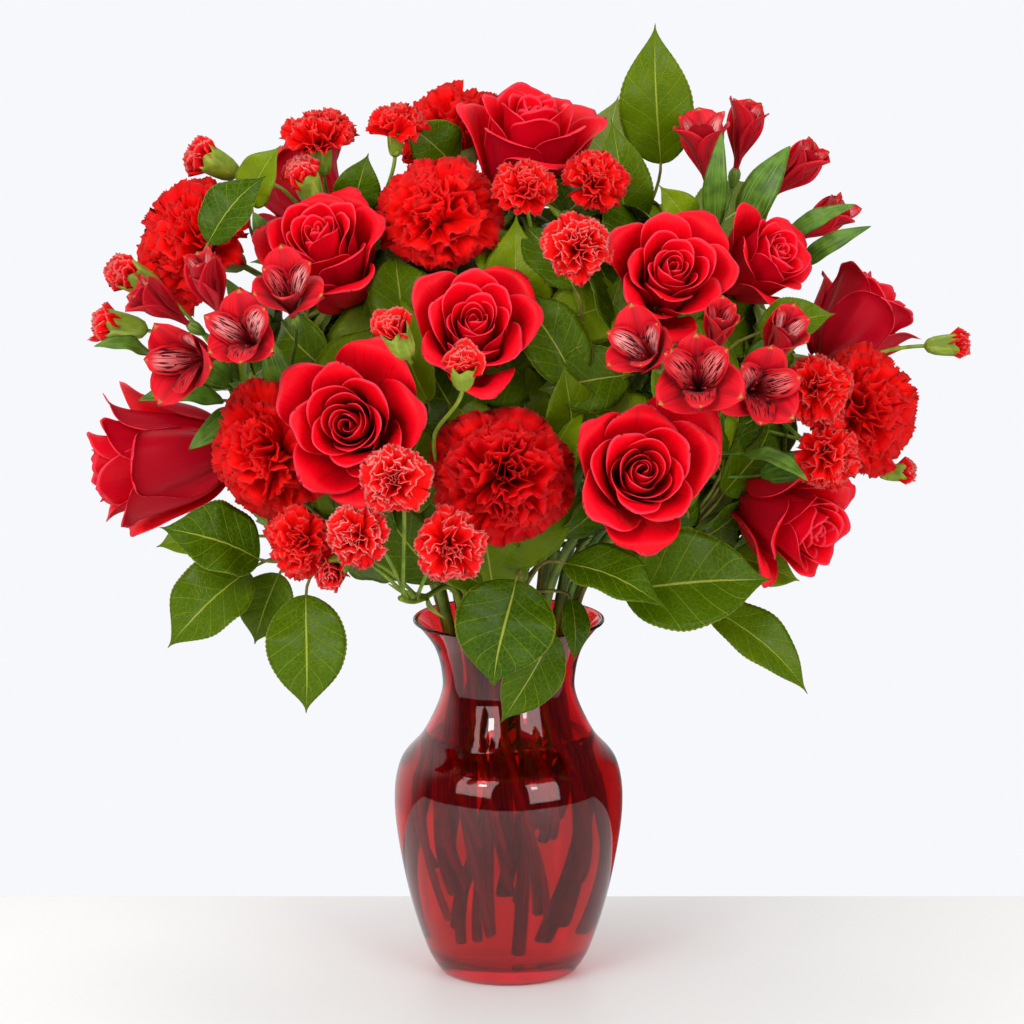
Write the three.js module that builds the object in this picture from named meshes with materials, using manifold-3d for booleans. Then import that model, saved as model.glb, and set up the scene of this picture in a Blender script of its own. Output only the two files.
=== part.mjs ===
// A red bouquet in a ruby glass vase: roses, carnations, spray carnations, Peruvian lilies and lemon-leaf
// branches, standing in water. Millimetres, +Z up. The origin is the middle of the vase's foot, on the
// surface that it stands on, and -Y is the front.
//
// Every plant is one cut stem. All the stems lean through the neck of the vase as one bundle: at any height
// their places are the same pattern of four rings, only turned and widened, so that no stem meets another.

import * as THREE from "three";
import { LoftGeometry } from "three/addons/geometries/LoftGeometry.js";
import { ParametricGeometry } from "three/addons/geometries/ParametricGeometry.js";
import { mergeGeometries, mergeVertices } from "three/addons/utils/BufferGeometryUtils.js";
import Module from "manifold-3d";

const wasm = await Module();
wasm.setup();

// ---------------------------------------------------------------- driving dimensions

const GAP = 0.3; // clearance between two pieces that touch

const VASE = { wall: 3.5, floor: 10, waterLevel: 137, sides: 24, wetRows: 5, dryRows: 4 };
// Outside of the vase as [radius, height]: foot, belly, shoulder, neck and flared rim.
const VASE_OUTLINE = [
  [37.5, 0], [46, 14], [56.5, 48], [63.8, 92], [61, 120], [48, 137], [38.2, 158], [37.4, 172], [42, 188],
  [53.5, 203],
];

// The stem bundle: how many stems each ring holds, and the ring's radius in the neck.
const RINGS = [
  { count: 3, radius: 6 },
  { count: 7, radius: 13.5 },
  { count: 12, radius: 21.5 },
  { count: 15, radius: 29 },
];
const NECK_HEIGHT = 170;
const RIM_CLEAR_HEIGHT = 212; // the stems bend outwards only above the rim
const RIM_SPREAD = 1.35; // the pattern above the rim, against the neck
const FOOT_SPREAD = 1.2; // and at the feet of the stems
const FOOT_TWIST = THREE.MathUtils.degToRad(60);
const FOOT_HEIGHTS = [15, 22, 17, 27, 19]; // stems are cut by hand, so their ends differ in turn

const STEM_SIDES = 5;
const STEM_RADIUS = { rose: 2.9, carnation: 2.2, spray: 1.9, lily: 2.3, branch: 2 };

// A rose's bud-like heart as rows of radius and height, and its layers of petals: where their roots lie, and
// how far they reach, rise and curl. All are shares of the bloom's radius, and spread is in radians.
const ROSE = {
  thickness: 1.6,
  heart: [[0.24, 0], [0.34, 0.34], [0.18, 0.52], [0.23, 0.84], [0.1, 1]],
  layers: [
    { count: 3, root: 0.12, rise: 0.36, reach: 0.42, height: 0.84, curl: 0.02, spread: 1.2 },
    { count: 5, root: 0.17, rise: 0.12, reach: 0.8, height: 0.92, curl: 0.22, spread: 0.73 },
  ],
};
// Rows of a carnation, from the calyx up: radius and height as shares of its radius, then the frill.
const CARNATION = {
  frills: 9,
  layers: [
    [0.2, 0], [0.5, 0.08], [1, 0.22, 0.09], [0.62, 0.34, -0.04], [0.84, 0.6, -0.12], [0.4, 0.58, 0.05],
    [0.56, 0.9, 0.18], [0.14, 0.94],
  ],
};
const CALYX_LENGTH = 26;
const STALK_RADIUS = 1.2;
const STALK_INSIDE = 2.5; // how far a stalk reaches into the body that it carries
const LEAF = { thickness: 1.3, stalk: 1.2, bow: 0.1 };
const SUNK = 4; // how far the first stalk's root lies below the end of the stem that it grows from
const ROOT_PITCH = 6; // and how far each further root lies below the last

// Where each bloom sits. at is the middle of the bloom. turn is the way it faces, in degrees from the front
// towards +X, and lift is how far it looks up from level. width is the bloom's diameter.
const ROSES = {
  rose_top: { at: [12, -8, 479], turn: 25, lift: 72, width: 82 },
  rose_upper_left: { at: [-101, -82, 428], turn: -18, lift: 48, width: 84 },
  rose_centre: { at: [-18, -122, 389], turn: 2, lift: 34, width: 80 },
  rose_upper_right: { at: [87, -110, 416], turn: 10, lift: 30, width: 78 },
  rose_right: { at: [143, -62, 417], turn: 48, lift: 30, width: 66 },
  rose_far_right: { at: [199, 18, 377], turn: 112, lift: 45, width: 72 },
  rose_front_left: { at: [-84, -150, 340], turn: -8, lift: 14, width: 90 },
  rose_far_left: { at: [-202, -20, 294], turn: -86, lift: -6, width: 84 },
  rose_front_right: { at: [70, -160, 317], turn: 6, lift: 18, width: 90 },
  rose_low_right: { at: [160, -82, 272], turn: 48, lift: -16, width: 72 },
  rose_back_left: { at: [-122, 46, 444], turn: -135, lift: 42, width: 74 },
  rose_back: { at: [66, 116, 380], turn: 158, lift: 30, width: 88 },
};

const CARNATIONS = {
  carnation_front: { at: [-3, -142, 311], turn: -2, lift: 10, width: 70 },
  carnation_left: { at: [-130, -104, 317], turn: -38, lift: 6, width: 68 },
  carnation_far_left: { at: [-174, -25, 420], turn: -62, lift: 28, width: 70 },
  carnation_upper: { at: [-38, -62, 442], turn: -8, lift: 42, width: 62 },
  carnation_right: { at: [197, -48, 328], turn: 58, lift: 6, width: 66 },
  carnation_back: { at: [-60, 120, 344], turn: -165, lift: 16, width: 74 },
  carnation_back_top: { at: [-28, 62, 468], turn: -170, lift: 58, width: 68 },
};

// Spray carnations: one stem that forks into small blooms and buds.
const SPRAYS = {
  spray_front: {
    fork: [-58, -118, 240],
    blooms: [
      { at: [-60, -205, 323], turn: -8, lift: 20, width: 38 },
      { at: [-81, -188, 288], turn: -14, lift: 8, width: 36 },
      { at: [-114, -160, 278], turn: -28, lift: 4, width: 40 },
      { at: [-30, -192, 283], turn: 4, lift: 6, width: 40 },
    ],
    buds: [{ at: [-94, -166, 262], turn: -16, lift: -14, width: 19 }],
  },
  spray_buds: {
    fork: [-36, -100, 300],
    blooms: [],
    buds: [
      { at: [-61, -190, 402], turn: -30, lift: 50, width: 21, via: [-56, -110, 370] },
      { at: [-23, -205, 386], turn: 2, lift: 50, width: 19, via: [-39, -150, 334] },
    ],
  },
  spray_top: {
    fork: [22, -48, 385],
    blooms: [
      { at: [8, -84, 461], turn: -6, lift: 42, width: 36 },
      { at: [48, -64, 462], turn: 12, lift: 40, width: 38 },
      { at: [37, -132, 434], turn: 0, lift: 24, width: 38 },
    ],
    buds: [],
  },
  spray_top_left: {
    fork: [-92, -15, 410],
    blooms: [
      { at: [-104, -22, 484], turn: -20, lift: 74, width: 44 },
      { at: [-61, -25, 489], turn: 10, lift: 80, width: 34 },
    ],
    buds: [
      { at: [-172, -8, 466], turn: -70, lift: 30, width: 22, via: [-122, -10, 444] },
      { at: [-112, -44, 463], turn: -40, lift: 64, width: 21 },
    ],
  },
  spray_left: {
    fork: [-150, -52, 345],
    blooms: [],
    buds: [
      { at: [-211, -60, 409], turn: -62, lift: 30, width: 23 },
      { at: [-222, -58, 380], turn: -80, lift: 12, width: 21 },
    ],
  },
  spray_right: {
    fork: [146, -60, 336],
    blooms: [
      { at: [166, -120, 355], turn: 14, lift: 14, width: 40 },
      { at: [174, -124, 317], turn: 24, lift: -4, width: 39 },
    ],
    buds: [
      { at: [252, 2, 357], turn: 88, lift: 2, width: 17, via: [188, -30, 352] },
      { at: [222, -22, 290], turn: 80, lift: 4, width: 14, via: [176, -48, 308] },
    ],
  },
  spray_back: {
    fork: [8, 82, 335],
    blooms: [
      { at: [2, 140, 300], turn: 178, lift: 6, width: 42 },
      { at: [14, 122, 402], turn: 172, lift: 34, width: 40 },
    ],
    buds: [
      { at: [132, 92, 340], turn: 125, lift: 14, width: 21 },
      { at: [-92, 112, 398], turn: -150, lift: 40, width: 21 },
    ],
  },
};

// Peruvian lilies: one stem with an umbel of trumpet florets and strap leaves below it. A leaf runs from
// base to tip with the given width, and its upper face looks towards face.
const LILIES = {
  lily_left: {
    fork: [-120, -70, 356],
    florets: [
      { at: [-116, -146, 412], turn: -6, lift: 40, width: 40 },
      { at: [-160, -108, 410], turn: -40, lift: 62, width: 36 },
      { at: [-139, -152, 388], turn: -10, lift: 20, width: 42 },
      { at: [-172, -126, 370], turn: -30, lift: 4, width: 44 },
      { at: [-190, -88, 396], turn: -62, lift: 34, width: 36 },
    ],
    leaves: [
      { base: [-192, -66, 362], tip: [-222, -82, 372], width: 14, face: [0, -0.6, 1] },
      { base: [-154, -68, 338], tip: [-198, -88, 344], width: 18, face: [0, -0.8, 1] },
    ],
  },
  lily_right: {
    fork: [108, -104, 330],
    florets: [
      { at: [99, -172, 369], turn: -2, lift: 22, width: 46 },
      { at: [133, -158, 361], turn: 12, lift: 12, width: 44 },
      { at: [70, -166, 384], turn: -22, lift: 30, width: 40 },
      { at: [110, -150, 392], turn: 10, lift: 52, width: 34 },
      { at: [145, -128, 384], turn: 30, lift: 44, width: 36 },
    ],
    leaves: [
      { base: [124, -118, 318], tip: [158, -148, 312], width: 13, face: [0, -0.5, 1] },
    ],
  },
  lily_top_right: {
    fork: [112, 2, 398],
    florets: [
      { at: [106, -16, 472], turn: -30, lift: 76, width: 38 },
      { at: [130, 16, 476], turn: 40, lift: 74, width: 36 },
      { at: [160, 2, 456], turn: 62, lift: 46, width: 38 },
      { at: [176, 22, 424], turn: 80, lift: 36, width: 34 },
    ],
    leaves: [
      { base: [112, -30, 425], tip: [115, -38, 480], width: 13, face: [-0.2, -1, 0.1] },
      { base: [128, -24, 425], tip: [152, -30, 472], width: 20, face: [-0.3, -1, 0.3] },
      { base: [152, -14, 418], tip: [188, -26, 440], width: 11, face: [-0.3, -1, 0.6] },
      { base: [160, -16, 404], tip: [196, -34, 429], width: 11, face: [-0.3, -1, 0.5] },
    ],
  },
};

// Lemon-leaf branches: woody stems with broad leaves, given as for the lilies.
const BRANCHES = {
  branch_top: {
    fork: [62, 18, 402],
    leaves: [
      { base: [84, 14, 456], tip: [80, 8, 534], width: 41, face: [-0.1, -1, 0.1] },
      { base: [64, -22, 420], tip: [56, -26, 486], width: 33, face: [0.1, -1, 0.2] },
      { base: [100, -34, 428], tip: [82, -42, 452], width: 20, face: [0, -1, 0.4] },
      { base: [-30, 8, 456], tip: [-56, -4, 482], width: 32, face: [-0.2, -1, 0.6] },
    ],
  },
  branch_middle: {
    fork: [26, -48, 330],
    leaves: [
      { base: [6, -66, 366], tip: [4, -66, 440], width: 40, face: [-0.1, -1, 0.2] },
      { base: [52, -68, 352], tip: [60, -74, 408], width: 34, face: [-0.3, -1, 0.1] },
      { base: [34, -92, 318], tip: [30, -118, 366], width: 34, face: [0.2, -1, 0.3] },
      { base: [-68, -60, 372], tip: [-60, -72, 412], width: 26, face: [0, -1, 0.3] },
    ],
  },
  branch_left: {
    fork: [-110, -45, 380],
    leaves: [
      { base: [-160, -92, 428], tip: [-130, -86, 464], width: 30, face: [-0.6, -1, 0.3] },
      { base: [-86, -26, 434], tip: [-76, -34, 468], width: 26, face: [0.1, -1, 0.3] },
      { base: [-140, -30, 440], tip: [-124, -44, 474], width: 26, face: [-0.3, -1, 0.6] },
    ],
  },
  branch_low_left: {
    fork: [-88, -72, 262],
    leaves: [
      { base: [-134, -104, 258], tip: [-186, -114, 279], width: 44, face: [-0.3, -0.8, 0.8] },
      { base: [-140, -96, 250], tip: [-184, -112, 212], width: 42, face: [-0.5, -1, 0.3] },
      { base: [-108, -128, 244], tip: [-108, -142, 182], width: 43, face: [0, -1, 0.25] },
      { base: [-124, -84, 246], tip: [-138, -90, 208], width: 30, face: [-0.2, -1, 0.3] },
      { base: [-146, -62, 262], tip: [-192, -66, 258], width: 30, face: [-0.2, -0.8, 0.7] },
    ],
  },
  branch_low_middle: {
    fork: [8, -86, 242],
    leaves: [
      { base: [4, -128, 252], tip: [-8, -142, 196], width: 54, face: [0.05, -1, 0.35] },
      { base: [24, -96, 216], tip: [-4, -108, 168], width: 32, face: [0.3, -1, 0.2] },
      { base: [30, -124, 260], tip: [84, -140, 241], width: 36, face: [0.1, -0.7, 1] },
      { base: [-14, -104, 244], tip: [-40, -124, 256], width: 22, face: [-0.2, -1, 0.7] },
      { base: [34, -66, 228], tip: [36, -78, 196], width: 16, face: [0.4, -1, 0.2] },
    ],
  },
  branch_low_right: {
    fork: [78, -72, 250],
    leaves: [
      { base: [62, -102, 240], tip: [142, -104, 248], width: 56, face: [0, -1, 0.5] },
      { base: [108, -74, 226], tip: [164, -84, 180], width: 30, face: [0.4, -1, 0.6] },
      { base: [122, -56, 250], tip: [160, -54, 236], width: 24, face: [0.2, -1, 0.6] },
      { base: [134, -94, 380], tip: [174, -102, 392], width: 26, face: [-0.2, -1, 0.5] },
    ],
  },
  branch_back: {
    fork: [4, 70, 258],
    leaves: [
      { base: [-70, 96, 266], tip: [-122, 112, 238], width: 48, face: [-0.3, 1, 0.6] },
      { base: [-24, 102, 250], tip: [-34, 120, 192], width: 48, face: [0, 1, 0.4] },
      { base: [36, 98, 246], tip: [66, 116, 200], width: 48, face: [0.3, 1, 0.4] },
      { base: [84, 84, 278], tip: [140, 92, 256], width: 46, face: [0.5, 1, 0.6] },
      { base: [42, 104, 286], tip: [72, 132, 312], width: 42, face: [0.2, 1, 0.3] },
      { base: [-118, 50, 320], tip: [-178, 62, 318], width: 44, face: [-0.5, 0.7, 0.9] },
    ],
  },
  branch_back_top: {
    fork: [6, 48, 372],
    leaves: [
      { base: [-20, 92, 388], tip: [-30, 108, 438], width: 42, face: [0, 1, 0.4] },
      { base: [104, 66, 404], tip: [150, 66, 436], width: 42, face: [0.5, 1, 0.5] },
      { base: [120, 52, 336], tip: [176, 62, 322], width: 44, face: [0.6, 0.8, 0.8] },
      { base: [-84, 72, 380], tip: [-146, 84, 392], width: 44, face: [-0.4, 1, 0.6] },
      { base: [50, 66, 432], tip: [62, 88, 484], width: 40, face: [0.2, 1, 0.5] },
    ],
  },
};

// ---------------------------------------------------------------- finishes

const finish = (color, roughness) => new THREE.MeshStandardMaterial({ color, roughness, metalness: 0 });
const ruby = new THREE.MeshStandardMaterial({
  color: 0x8e0a16, roughness: 0.04, metalness: 0, transparent: true, opacity: 0.55,
});
const clearWater = new THREE.MeshStandardMaterial({
  color: 0xdfe6e8, roughness: 0.02, metalness: 0, transparent: true, opacity: 0.35,
});
const roseRed = finish(0xb80b1e, 0.55);
const roseGreen = finish(0x4f7a2c, 0.6);
const carnationRed = finish(0xcf1220, 0.7);
const carnationGreen = finish(0x7fa05a, 0.65);
const sprayRed = finish(0xd8303a, 0.7);
const lilyRed = finish(0xb8182a, 0.5);
const leafGreen = finish(0x3f6b1f, 0.45);

// ---------------------------------------------------------------- shared tools

const vector = (p) => new THREE.Vector3(...p);
const polar = (radius, angle, height) =>
  new THREE.Vector3(radius * Math.cos(angle), radius * Math.sin(angle), height);

// The way a bloom faces: turn degrees from the front (-Y) towards +X, lifted by lift degrees.
function facing({ turn, lift }) {
  const t = THREE.MathUtils.degToRad(turn);
  const l = THREE.MathUtils.degToRad(lift);
  return new THREE.Vector3(Math.sin(t) * Math.cos(l), -Math.cos(t) * Math.cos(l), Math.sin(l));
}

// The placement of a bloom modelled along +Z: its base lies `below` under the middle of the bloom.
function seat(bloom, below) {
  const way = facing(bloom);
  const base = vector(bloom.at).addScaledVector(way, -below);
  const turn = new THREE.Quaternion().setFromUnitVectors(new THREE.Vector3(0, 0, 1), way);
  return { way, base, turn, matrix: new THREE.Matrix4().compose(base, turn, new THREE.Vector3(1, 1, 1)) };
}

// A closed three.js geometry as a manifold-3d solid, with its vertices welded and empty faces dropped.
function solid(geometry) {
  const bare = geometry.index ? geometry.toNonIndexed() : geometry.clone();
  bare.deleteAttribute("normal");
  bare.deleteAttribute("uv");
  const welded = mergeVertices(bare, 1e-3);
  const corners = [];
  for (let i = 0; i < welded.index.count; i += 3) {
    const [a, b, c] = [0, 1, 2].map((k) => welded.index.getX(i + k));
    if (a !== b && b !== c && c !== a) corners.push(a, b, c);
  }
  const make = (triVerts) =>
    new wasm.Manifold(
      new wasm.Mesh({ numProp: 3, vertProperties: welded.attributes.position.array, triVerts }),
    );
  const made = make(new Uint32Array(corners));
  return made.volume() > 0 ? made : make(new Uint32Array(corners.reverse()));
}

// A capped solid through rings of points. Each end cap faces away from the ring next to it.
const loft = (sections) => solid(new LoftGeometry(sections, { capStart: true, capEnd: true }));

const fuse = (solids) => solids.reduce((all, one) => all.add(one));

// The largest body of a solid: a scrap that a cut leaves loose is dropped.
const whole = (made) => made.decompose().sort((a, b) => b.volume() - a.volume())[0];

function mesh(name, made, material, matrix) {
  const { numProp, vertProperties, triVerts } = whole(made).getMesh();
  const places = new Float32Array((vertProperties.length / numProp) * 3);
  for (let i = 0; i < places.length / 3; i++) {
    places.set(vertProperties.subarray(i * numProp, i * numProp + 3), i * 3);
  }
  const geometry = new THREE.BufferGeometry();
  geometry.setAttribute("position", new THREE.BufferAttribute(places, 3));
  geometry.setIndex(new THREE.BufferAttribute(triVerts, 1));
  geometry.computeVertexNormals();
  const made3 = new THREE.Mesh(geometry, material);
  made3.name = name;
  if (matrix) matrix.decompose(made3.position, made3.quaternion, made3.scale);
  return made3;
}

// A thin closed blade: two faces of one curved surface that meet along its outline. surface(u, v) gives the
// middle of the blade, with u across it from -1 to 1 and v along it from 0 at the root to 1.
function blade(surface, thickness, across, along) {
  const step = 0.02;
  const offset = (u, v, side) => {
    const middle = surface(u, v);
    if (Math.abs(u) > 0.999 || v < 0.001 || v > 0.999) return middle;
    const sideways = surface(u + step, v).sub(surface(u - step, v));
    const forwards = surface(u, v + step).sub(surface(u, v - step));
    const normal = sideways.cross(forwards).normalize();
    return middle.addScaledVector(normal, (side * thickness) / 2);
  };
  const face = (side) =>
    new ParametricGeometry((a, b, target) => target.copy(offset(2 * a - 1, b, side)), across, along);
  const back = face(-1);
  back.setIndex([...back.index.array].reverse());
  return solid(mergeGeometries([face(1), back]));
}

// Rings of points along a path, square to it, for a loft. Each entry of radii is one ring's radius.
function rings(points, radii, sides) {
  const along = points.map((p, i) => {
    const before = points[Math.max(i - 1, 0)];
    const after = points[Math.min(i + 1, points.length - 1)];
    return after.clone().sub(before).normalize();
  });
  const lean = Math.abs(along[0].z) < 0.9 ? new THREE.Vector3(0, 0, 1) : new THREE.Vector3(1, 0, 0);
  const across = new THREE.Vector3().crossVectors(along[0], lean).normalize();
  return points.map((p, i) => {
    if (i) {
      across.applyQuaternion(new THREE.Quaternion().setFromUnitVectors(along[i - 1], along[i]));
    }
    const other = new THREE.Vector3().crossVectors(along[i], across);
    return Array.from({ length: sides }, (_, k) => {
      const angle = (2 * Math.PI * k) / sides;
      return p
        .clone()
        .addScaledVector(across, radii[i] * Math.cos(angle))
        .addScaledVector(other, radii[i] * Math.sin(angle));
    });
  });
}

const tube = (points, radii, sides) => loft(rings(points, radii, sides));

// Points of the smooth curve from start, setting out along leave, to end, arriving along arrive.
function sweep(start, leave, end, arrive, pieces) {
  const reach = start.distanceTo(end) * 0.38;
  const curve = new THREE.CubicBezierCurve3(
    start,
    start.clone().addScaledVector(leave, reach),
    end.clone().addScaledVector(arrive, -reach),
    end,
  );
  return curve.getPoints(pieces);
}

// Turns a row of tiers given as shares of a radius into millimetres.
const scaled = (radius) => ([r, z, pleat]) => [r * radius, z * radius, pleat];

// Rings about +Z from tiers of [radius, height, pleat]: the pleat moves every second point out and down and
// the others in and up, as a frilled edge does.
function tiers(rows, sides) {
  return rows.map(([radius, height, pleat = 0]) =>
    Array.from({ length: sides }, (_, k) => {
      const swing = pleat * (k % 2 ? 1 : -1);
      return polar(radius * (1 + swing), (2 * Math.PI * k) / sides, height - 0.9 * radius * swing);
    }),
  );
}

// A body of tiers on a thin stalk. The stalk runs from root, through via when it is given, to a little way
// inside the foot of the body.
function stalked(root, item, below, rows, sides) {
  const { way, base, matrix } = seat(item, below);
  const inside = base.clone().addScaledVector(way, STALK_INSIDE);
  const stops = [root, ...(item.via ? [vector(item.via)] : []), inside];
  const body = loft(tiers(rows, sides)).transform(matrix.elements);
  return fuse([tube(stops, stops.map(() => STALK_RADIUS), 3), body]);
}

// ---------------------------------------------------------------- vase and water

const outline = new THREE.SplineCurve(VASE_OUTLINE.map(([r, z]) => new THREE.Vector2(r, z)));

// A turned solid about +Z from a profile that starts and ends on the axis.
function turned(profile) {
  const lathe = new THREE.LatheGeometry(profile, VASE.sides);
  return solid(lathe.rotateX(Math.PI / 2));
}

// Points of the vase's outside between two heights, moved inwards by inset.
function wallLine(from, to, inset, count) {
  const dense = outline.getPoints(200);
  return Array.from({ length: count }, (_, i) => {
    const height = THREE.MathUtils.lerp(from, to, i / (count - 1));
    const k = Math.max(1, dense.findIndex((p) => p.y >= height - 1e-6));
    const [a, b] = [dense[k - 1], dense[k]];
    const share = THREE.MathUtils.clamp((height - a.y) / (b.y - a.y), 0, 1);
    return new THREE.Vector2(a.x + (b.x - a.x) * share - inset, height);
  });
}

function makeVase() {
  const top = VASE_OUTLINE.at(-1)[1];
  const outside = outline.getPoints(10);
  const wet = wallLine(VASE.floor, VASE.waterLevel, VASE.wall, VASE.wetRows);
  const dry = wallLine(VASE.waterLevel, top, VASE.wall, VASE.dryRows).slice(1);
  return turned([
    new THREE.Vector2(0, 0), ...outside, ...[...wet, ...dry].reverse(), new THREE.Vector2(0, VASE.floor),
  ]);
}

function makeWater(stems) {
  const bottom = VASE.floor + GAP;
  const side = wallLine(VASE.floor, VASE.waterLevel, VASE.wall + 2 * GAP, VASE.wetRows);
  side[0].y = bottom;
  const body = turned([new THREE.Vector2(0, bottom), ...side, new THREE.Vector2(0, VASE.waterLevel)]);
  return stems.reduce((water, { foot, neck, radius }) => {
    const along = neck.clone().sub(foot).normalize();
    const room = radius + 1.3 * GAP;
    return water.subtract(tube([foot.clone().addScaledVector(along, -GAP), neck], [room, room], STEM_SIDES));
  }, body);
}

// ---------------------------------------------------------------- the stem bundle

// Gives each plant its place in the bundle: upright plants go in the middle rings, those that lean far out
// in the outer ones, and round a ring they keep the order of the heads that they carry.
function bundle(plants) {
  const lean = ({ end }) => Math.hypot(end.x, end.y) / Math.max(end.z - NECK_HEIGHT, 20);
  const angle = ({ end }) => Math.atan2(end.y, end.x);
  const order = [...plants].sort((a, b) => lean(a) - lean(b));
  RINGS.forEach(({ count, radius }) => {
    const ring = order.splice(0, count).sort((a, b) => angle(a) - angle(b));
    const pitch = (2 * Math.PI) / ring.length;
    const offs = ring.map((plant, k) => angle(plant) - k * pitch);
    const phase = Math.atan2(
      offs.reduce((sum, a) => sum + Math.sin(a), 0),
      offs.reduce((sum, a) => sum + Math.cos(a), 0),
    );
    ring.forEach((plant, k) => {
      plant.ring = radius;
      plant.angle = phase + k * pitch;
    });
  });
  plants.forEach((plant, i) => {
    const { ring, angle: a } = plant;
    const footHeight = FOOT_HEIGHTS[i % FOOT_HEIGHTS.length];
    plant.foot = polar(ring * FOOT_SPREAD, a + FOOT_TWIST, footHeight);
    plant.neck = polar(ring, a, NECK_HEIGHT);
    plant.rim = polar(ring * RIM_SPREAD, a, RIM_CLEAR_HEIGHT);
  });
}

// The cut stem of a plant, from its foot in the water to its end, where it arrives along its way. Below the
// rim it is straight.
function stem({ foot, neck, rim, end, way, radius }) {
  const leave = rim.clone().sub(neck).normalize();
  const path = [foot, neck, ...sweep(rim, leave, end, way, 3)];
  const radii = path.map((_, i) => radius * (1 - (0.25 * i) / path.length));
  return { cut: tube(path, radii, STEM_SIDES), path };
}

// ---------------------------------------------------------------- roses

// One rose petal. It rises from a root inside the heart, bellies out to its reach, and stands on a slant
// round the flower, so that each petal slips under the next. curl turns its upper edge out and down.
function rosePetal(radius, angle, { root, rise, reach, height, curl, spread }) {
  const lap = 0.07 * radius;
  const surface = (u, v) => {
    const belly = Math.sin((Math.PI / 2) * Math.min(1, v * 1.3));
    const r = radius * (root + (reach - root) * belly + curl * v ** 3) + lap * u * v;
    const z = radius * (rise + height * v - 0.22 * v * v * u * u - curl * 0.9 * v ** 4);
    return polar(r, angle + u * spread * Math.sin((Math.PI / 2) * v) ** 0.4, z);
  };
  return blade(surface, ROSE.thickness, 3, 2);
}

function roseBloom({ width }) {
  const radius = width / 2;
  const heart = tiers(ROSE.heart.map(scaled(radius)), 5);
  const petals = ROSE.layers.flatMap((layer) =>
    Array.from({ length: layer.count }, (_, k) =>
      rosePetal(radius, (2 * Math.PI * (k + 0.5)) / layer.count, layer),
    ),
  );
  return fuse([loft(heart), ...petals]);
}

// The green under a rose: hip and five sepals as one star, along +Z with its top at the bloom's base.
function roseHip(radius) {
  const ring = (r, z, tip = r, drop = 0) =>
    Array.from({ length: 10 }, (_, k) => {
      const even = k % 2 === 0;
      return polar(even ? tip : r, (Math.PI * k) / 5, even ? z - drop : z);
    });
  const sections = [ring(3.8, -0.28 * radius), ring(6, -GAP - 2, 0.55 * radius, 0.16 * radius), ring(5.5, -GAP)];
  return loft(sections);
}

// ---------------------------------------------------------------- carnations

// A carnation's petals: ruffled layers that stand closer and steeper towards the heart. Each layer is a
// frilled edge with the hollow before the next, and is turned half a frill against the last.
function carnationBloom({ width }) {
  const rows = CARNATION.layers.map(scaled(width / 2));
  return loft(tiers(rows, 2 * CARNATION.frills));
}

const calyx = (mouth, length) =>
  tube(
    [-length, -0.8 * length, -0.3 * length, -GAP].map((z) => new THREE.Vector3(0, 0, z)),
    [3.2, 0.72 * mouth, mouth, 0.94 * mouth],
    6,
  );

// ---------------------------------------------------------------- spray carnations

// A small bloom on its stalk: calyx, frilled edge and raised heart.
function sprayBloom(root, item) {
  const r = item.width / 2;
  const rows = [[0.14, 0], [0.3, 0.9], [1, 1.25, 0.14], [0.55, 1.5, -0.12], [0.2, 1.7]];
  return stalked(root, item, 0.72 * item.width, rows.map(scaled(r)), 8);
}

// A bud that shows its first petals.
function sprayBud(root, item) {
  const rows = [[0.24, 0], [0.7, 1.4], [1, 2.9, 0.1], [0.34, 3.3]];
  return stalked(root, item, 1.3 * item.width, rows.map(scaled(item.width / 2)), 6);
}

// ---------------------------------------------------------------- lilies and leaves

// One petal of a lily floret: a pointed spoon on a narrow claw, which leaves the throat steeply and flares.
function lilyPetal(length, reach, angle, breadth, rows) {
  const aside = polar(1, angle + Math.PI / 2, 0);
  const surface = (u, v) => {
    const half = breadth * Math.sin(Math.PI * v ** 2.2);
    const r = 1.2 + reach * v ** 1.5;
    return polar(r, angle, length * v * (1.1 - 0.1 * v)).addScaledVector(aside, half * u);
  };
  return blade(surface, 1.5, 2, rows);
}

// A trumpet floret on its stalk: the ovary, a wide whorl of three petals and a narrower one inside it. Each
// petal leaves the ovary through the middle of one of its six sides.
function lilyFloret(root, item) {
  const r = item.width / 2;
  const below = 1.3 * r;
  const ovary = stalked(root, item, below, [[2, 0], [3.6, 6], [3.3, 14]], 6);
  const petals = Array.from({ length: 6 }, (_, k) => {
    const angle = (Math.PI * (k + 0.5)) / 3;
    return k % 2 ? lilyPetal(1.6 * r, 0.42 * r, angle, 0.24 * r, 2) : lilyPetal(1.6 * r, r, angle, 0.46 * r, 3);
  });
  const { matrix } = seat(item, below - 8);
  return fuse([ovary, ...petals.map((petal) => petal.transform(matrix.elements))]);
}

// A leaf with its stalk, as one blade: the stalk runs from root, inside the stem, to the base of the leaf,
// and the leaf runs on to its tip, bowed a little, folded along its rib and waved at its edge.
function leaf(root, { base, tip, width, face }) {
  const foot = vector(base);
  const point = vector(tip);
  const along = point.clone().sub(foot).normalize();
  const aside = new THREE.Vector3().crossVectors(along, vector(face)).normalize();
  const up = new THREE.Vector3().crossVectors(aside, along);
  const length = foot.distanceTo(point);
  const rows = 5;
  const surface = (u, v) => {
    const s = Math.max(0, (v * rows - 1) / (rows - 1));
    if (s === 0) return root.clone().lerp(foot, v * rows).addScaledVector(aside, u * v * rows * LEAF.stalk);
    const half = LEAF.stalk * (1 - s) + (width / 2) * Math.sin(Math.PI * s ** 0.85) ** 0.8;
    const bow = LEAF.bow * length * Math.sin(Math.PI * s);
    const fold = half * (0.28 * Math.abs(u) + 0.07 * u * Math.sin(5 * Math.PI * s));
    return foot.clone().lerp(point, s).addScaledVector(aside, u * half).addScaledVector(up, bow + fold);
  };
  return blade(surface, LEAF.thickness, 2, rows);
}

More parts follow.
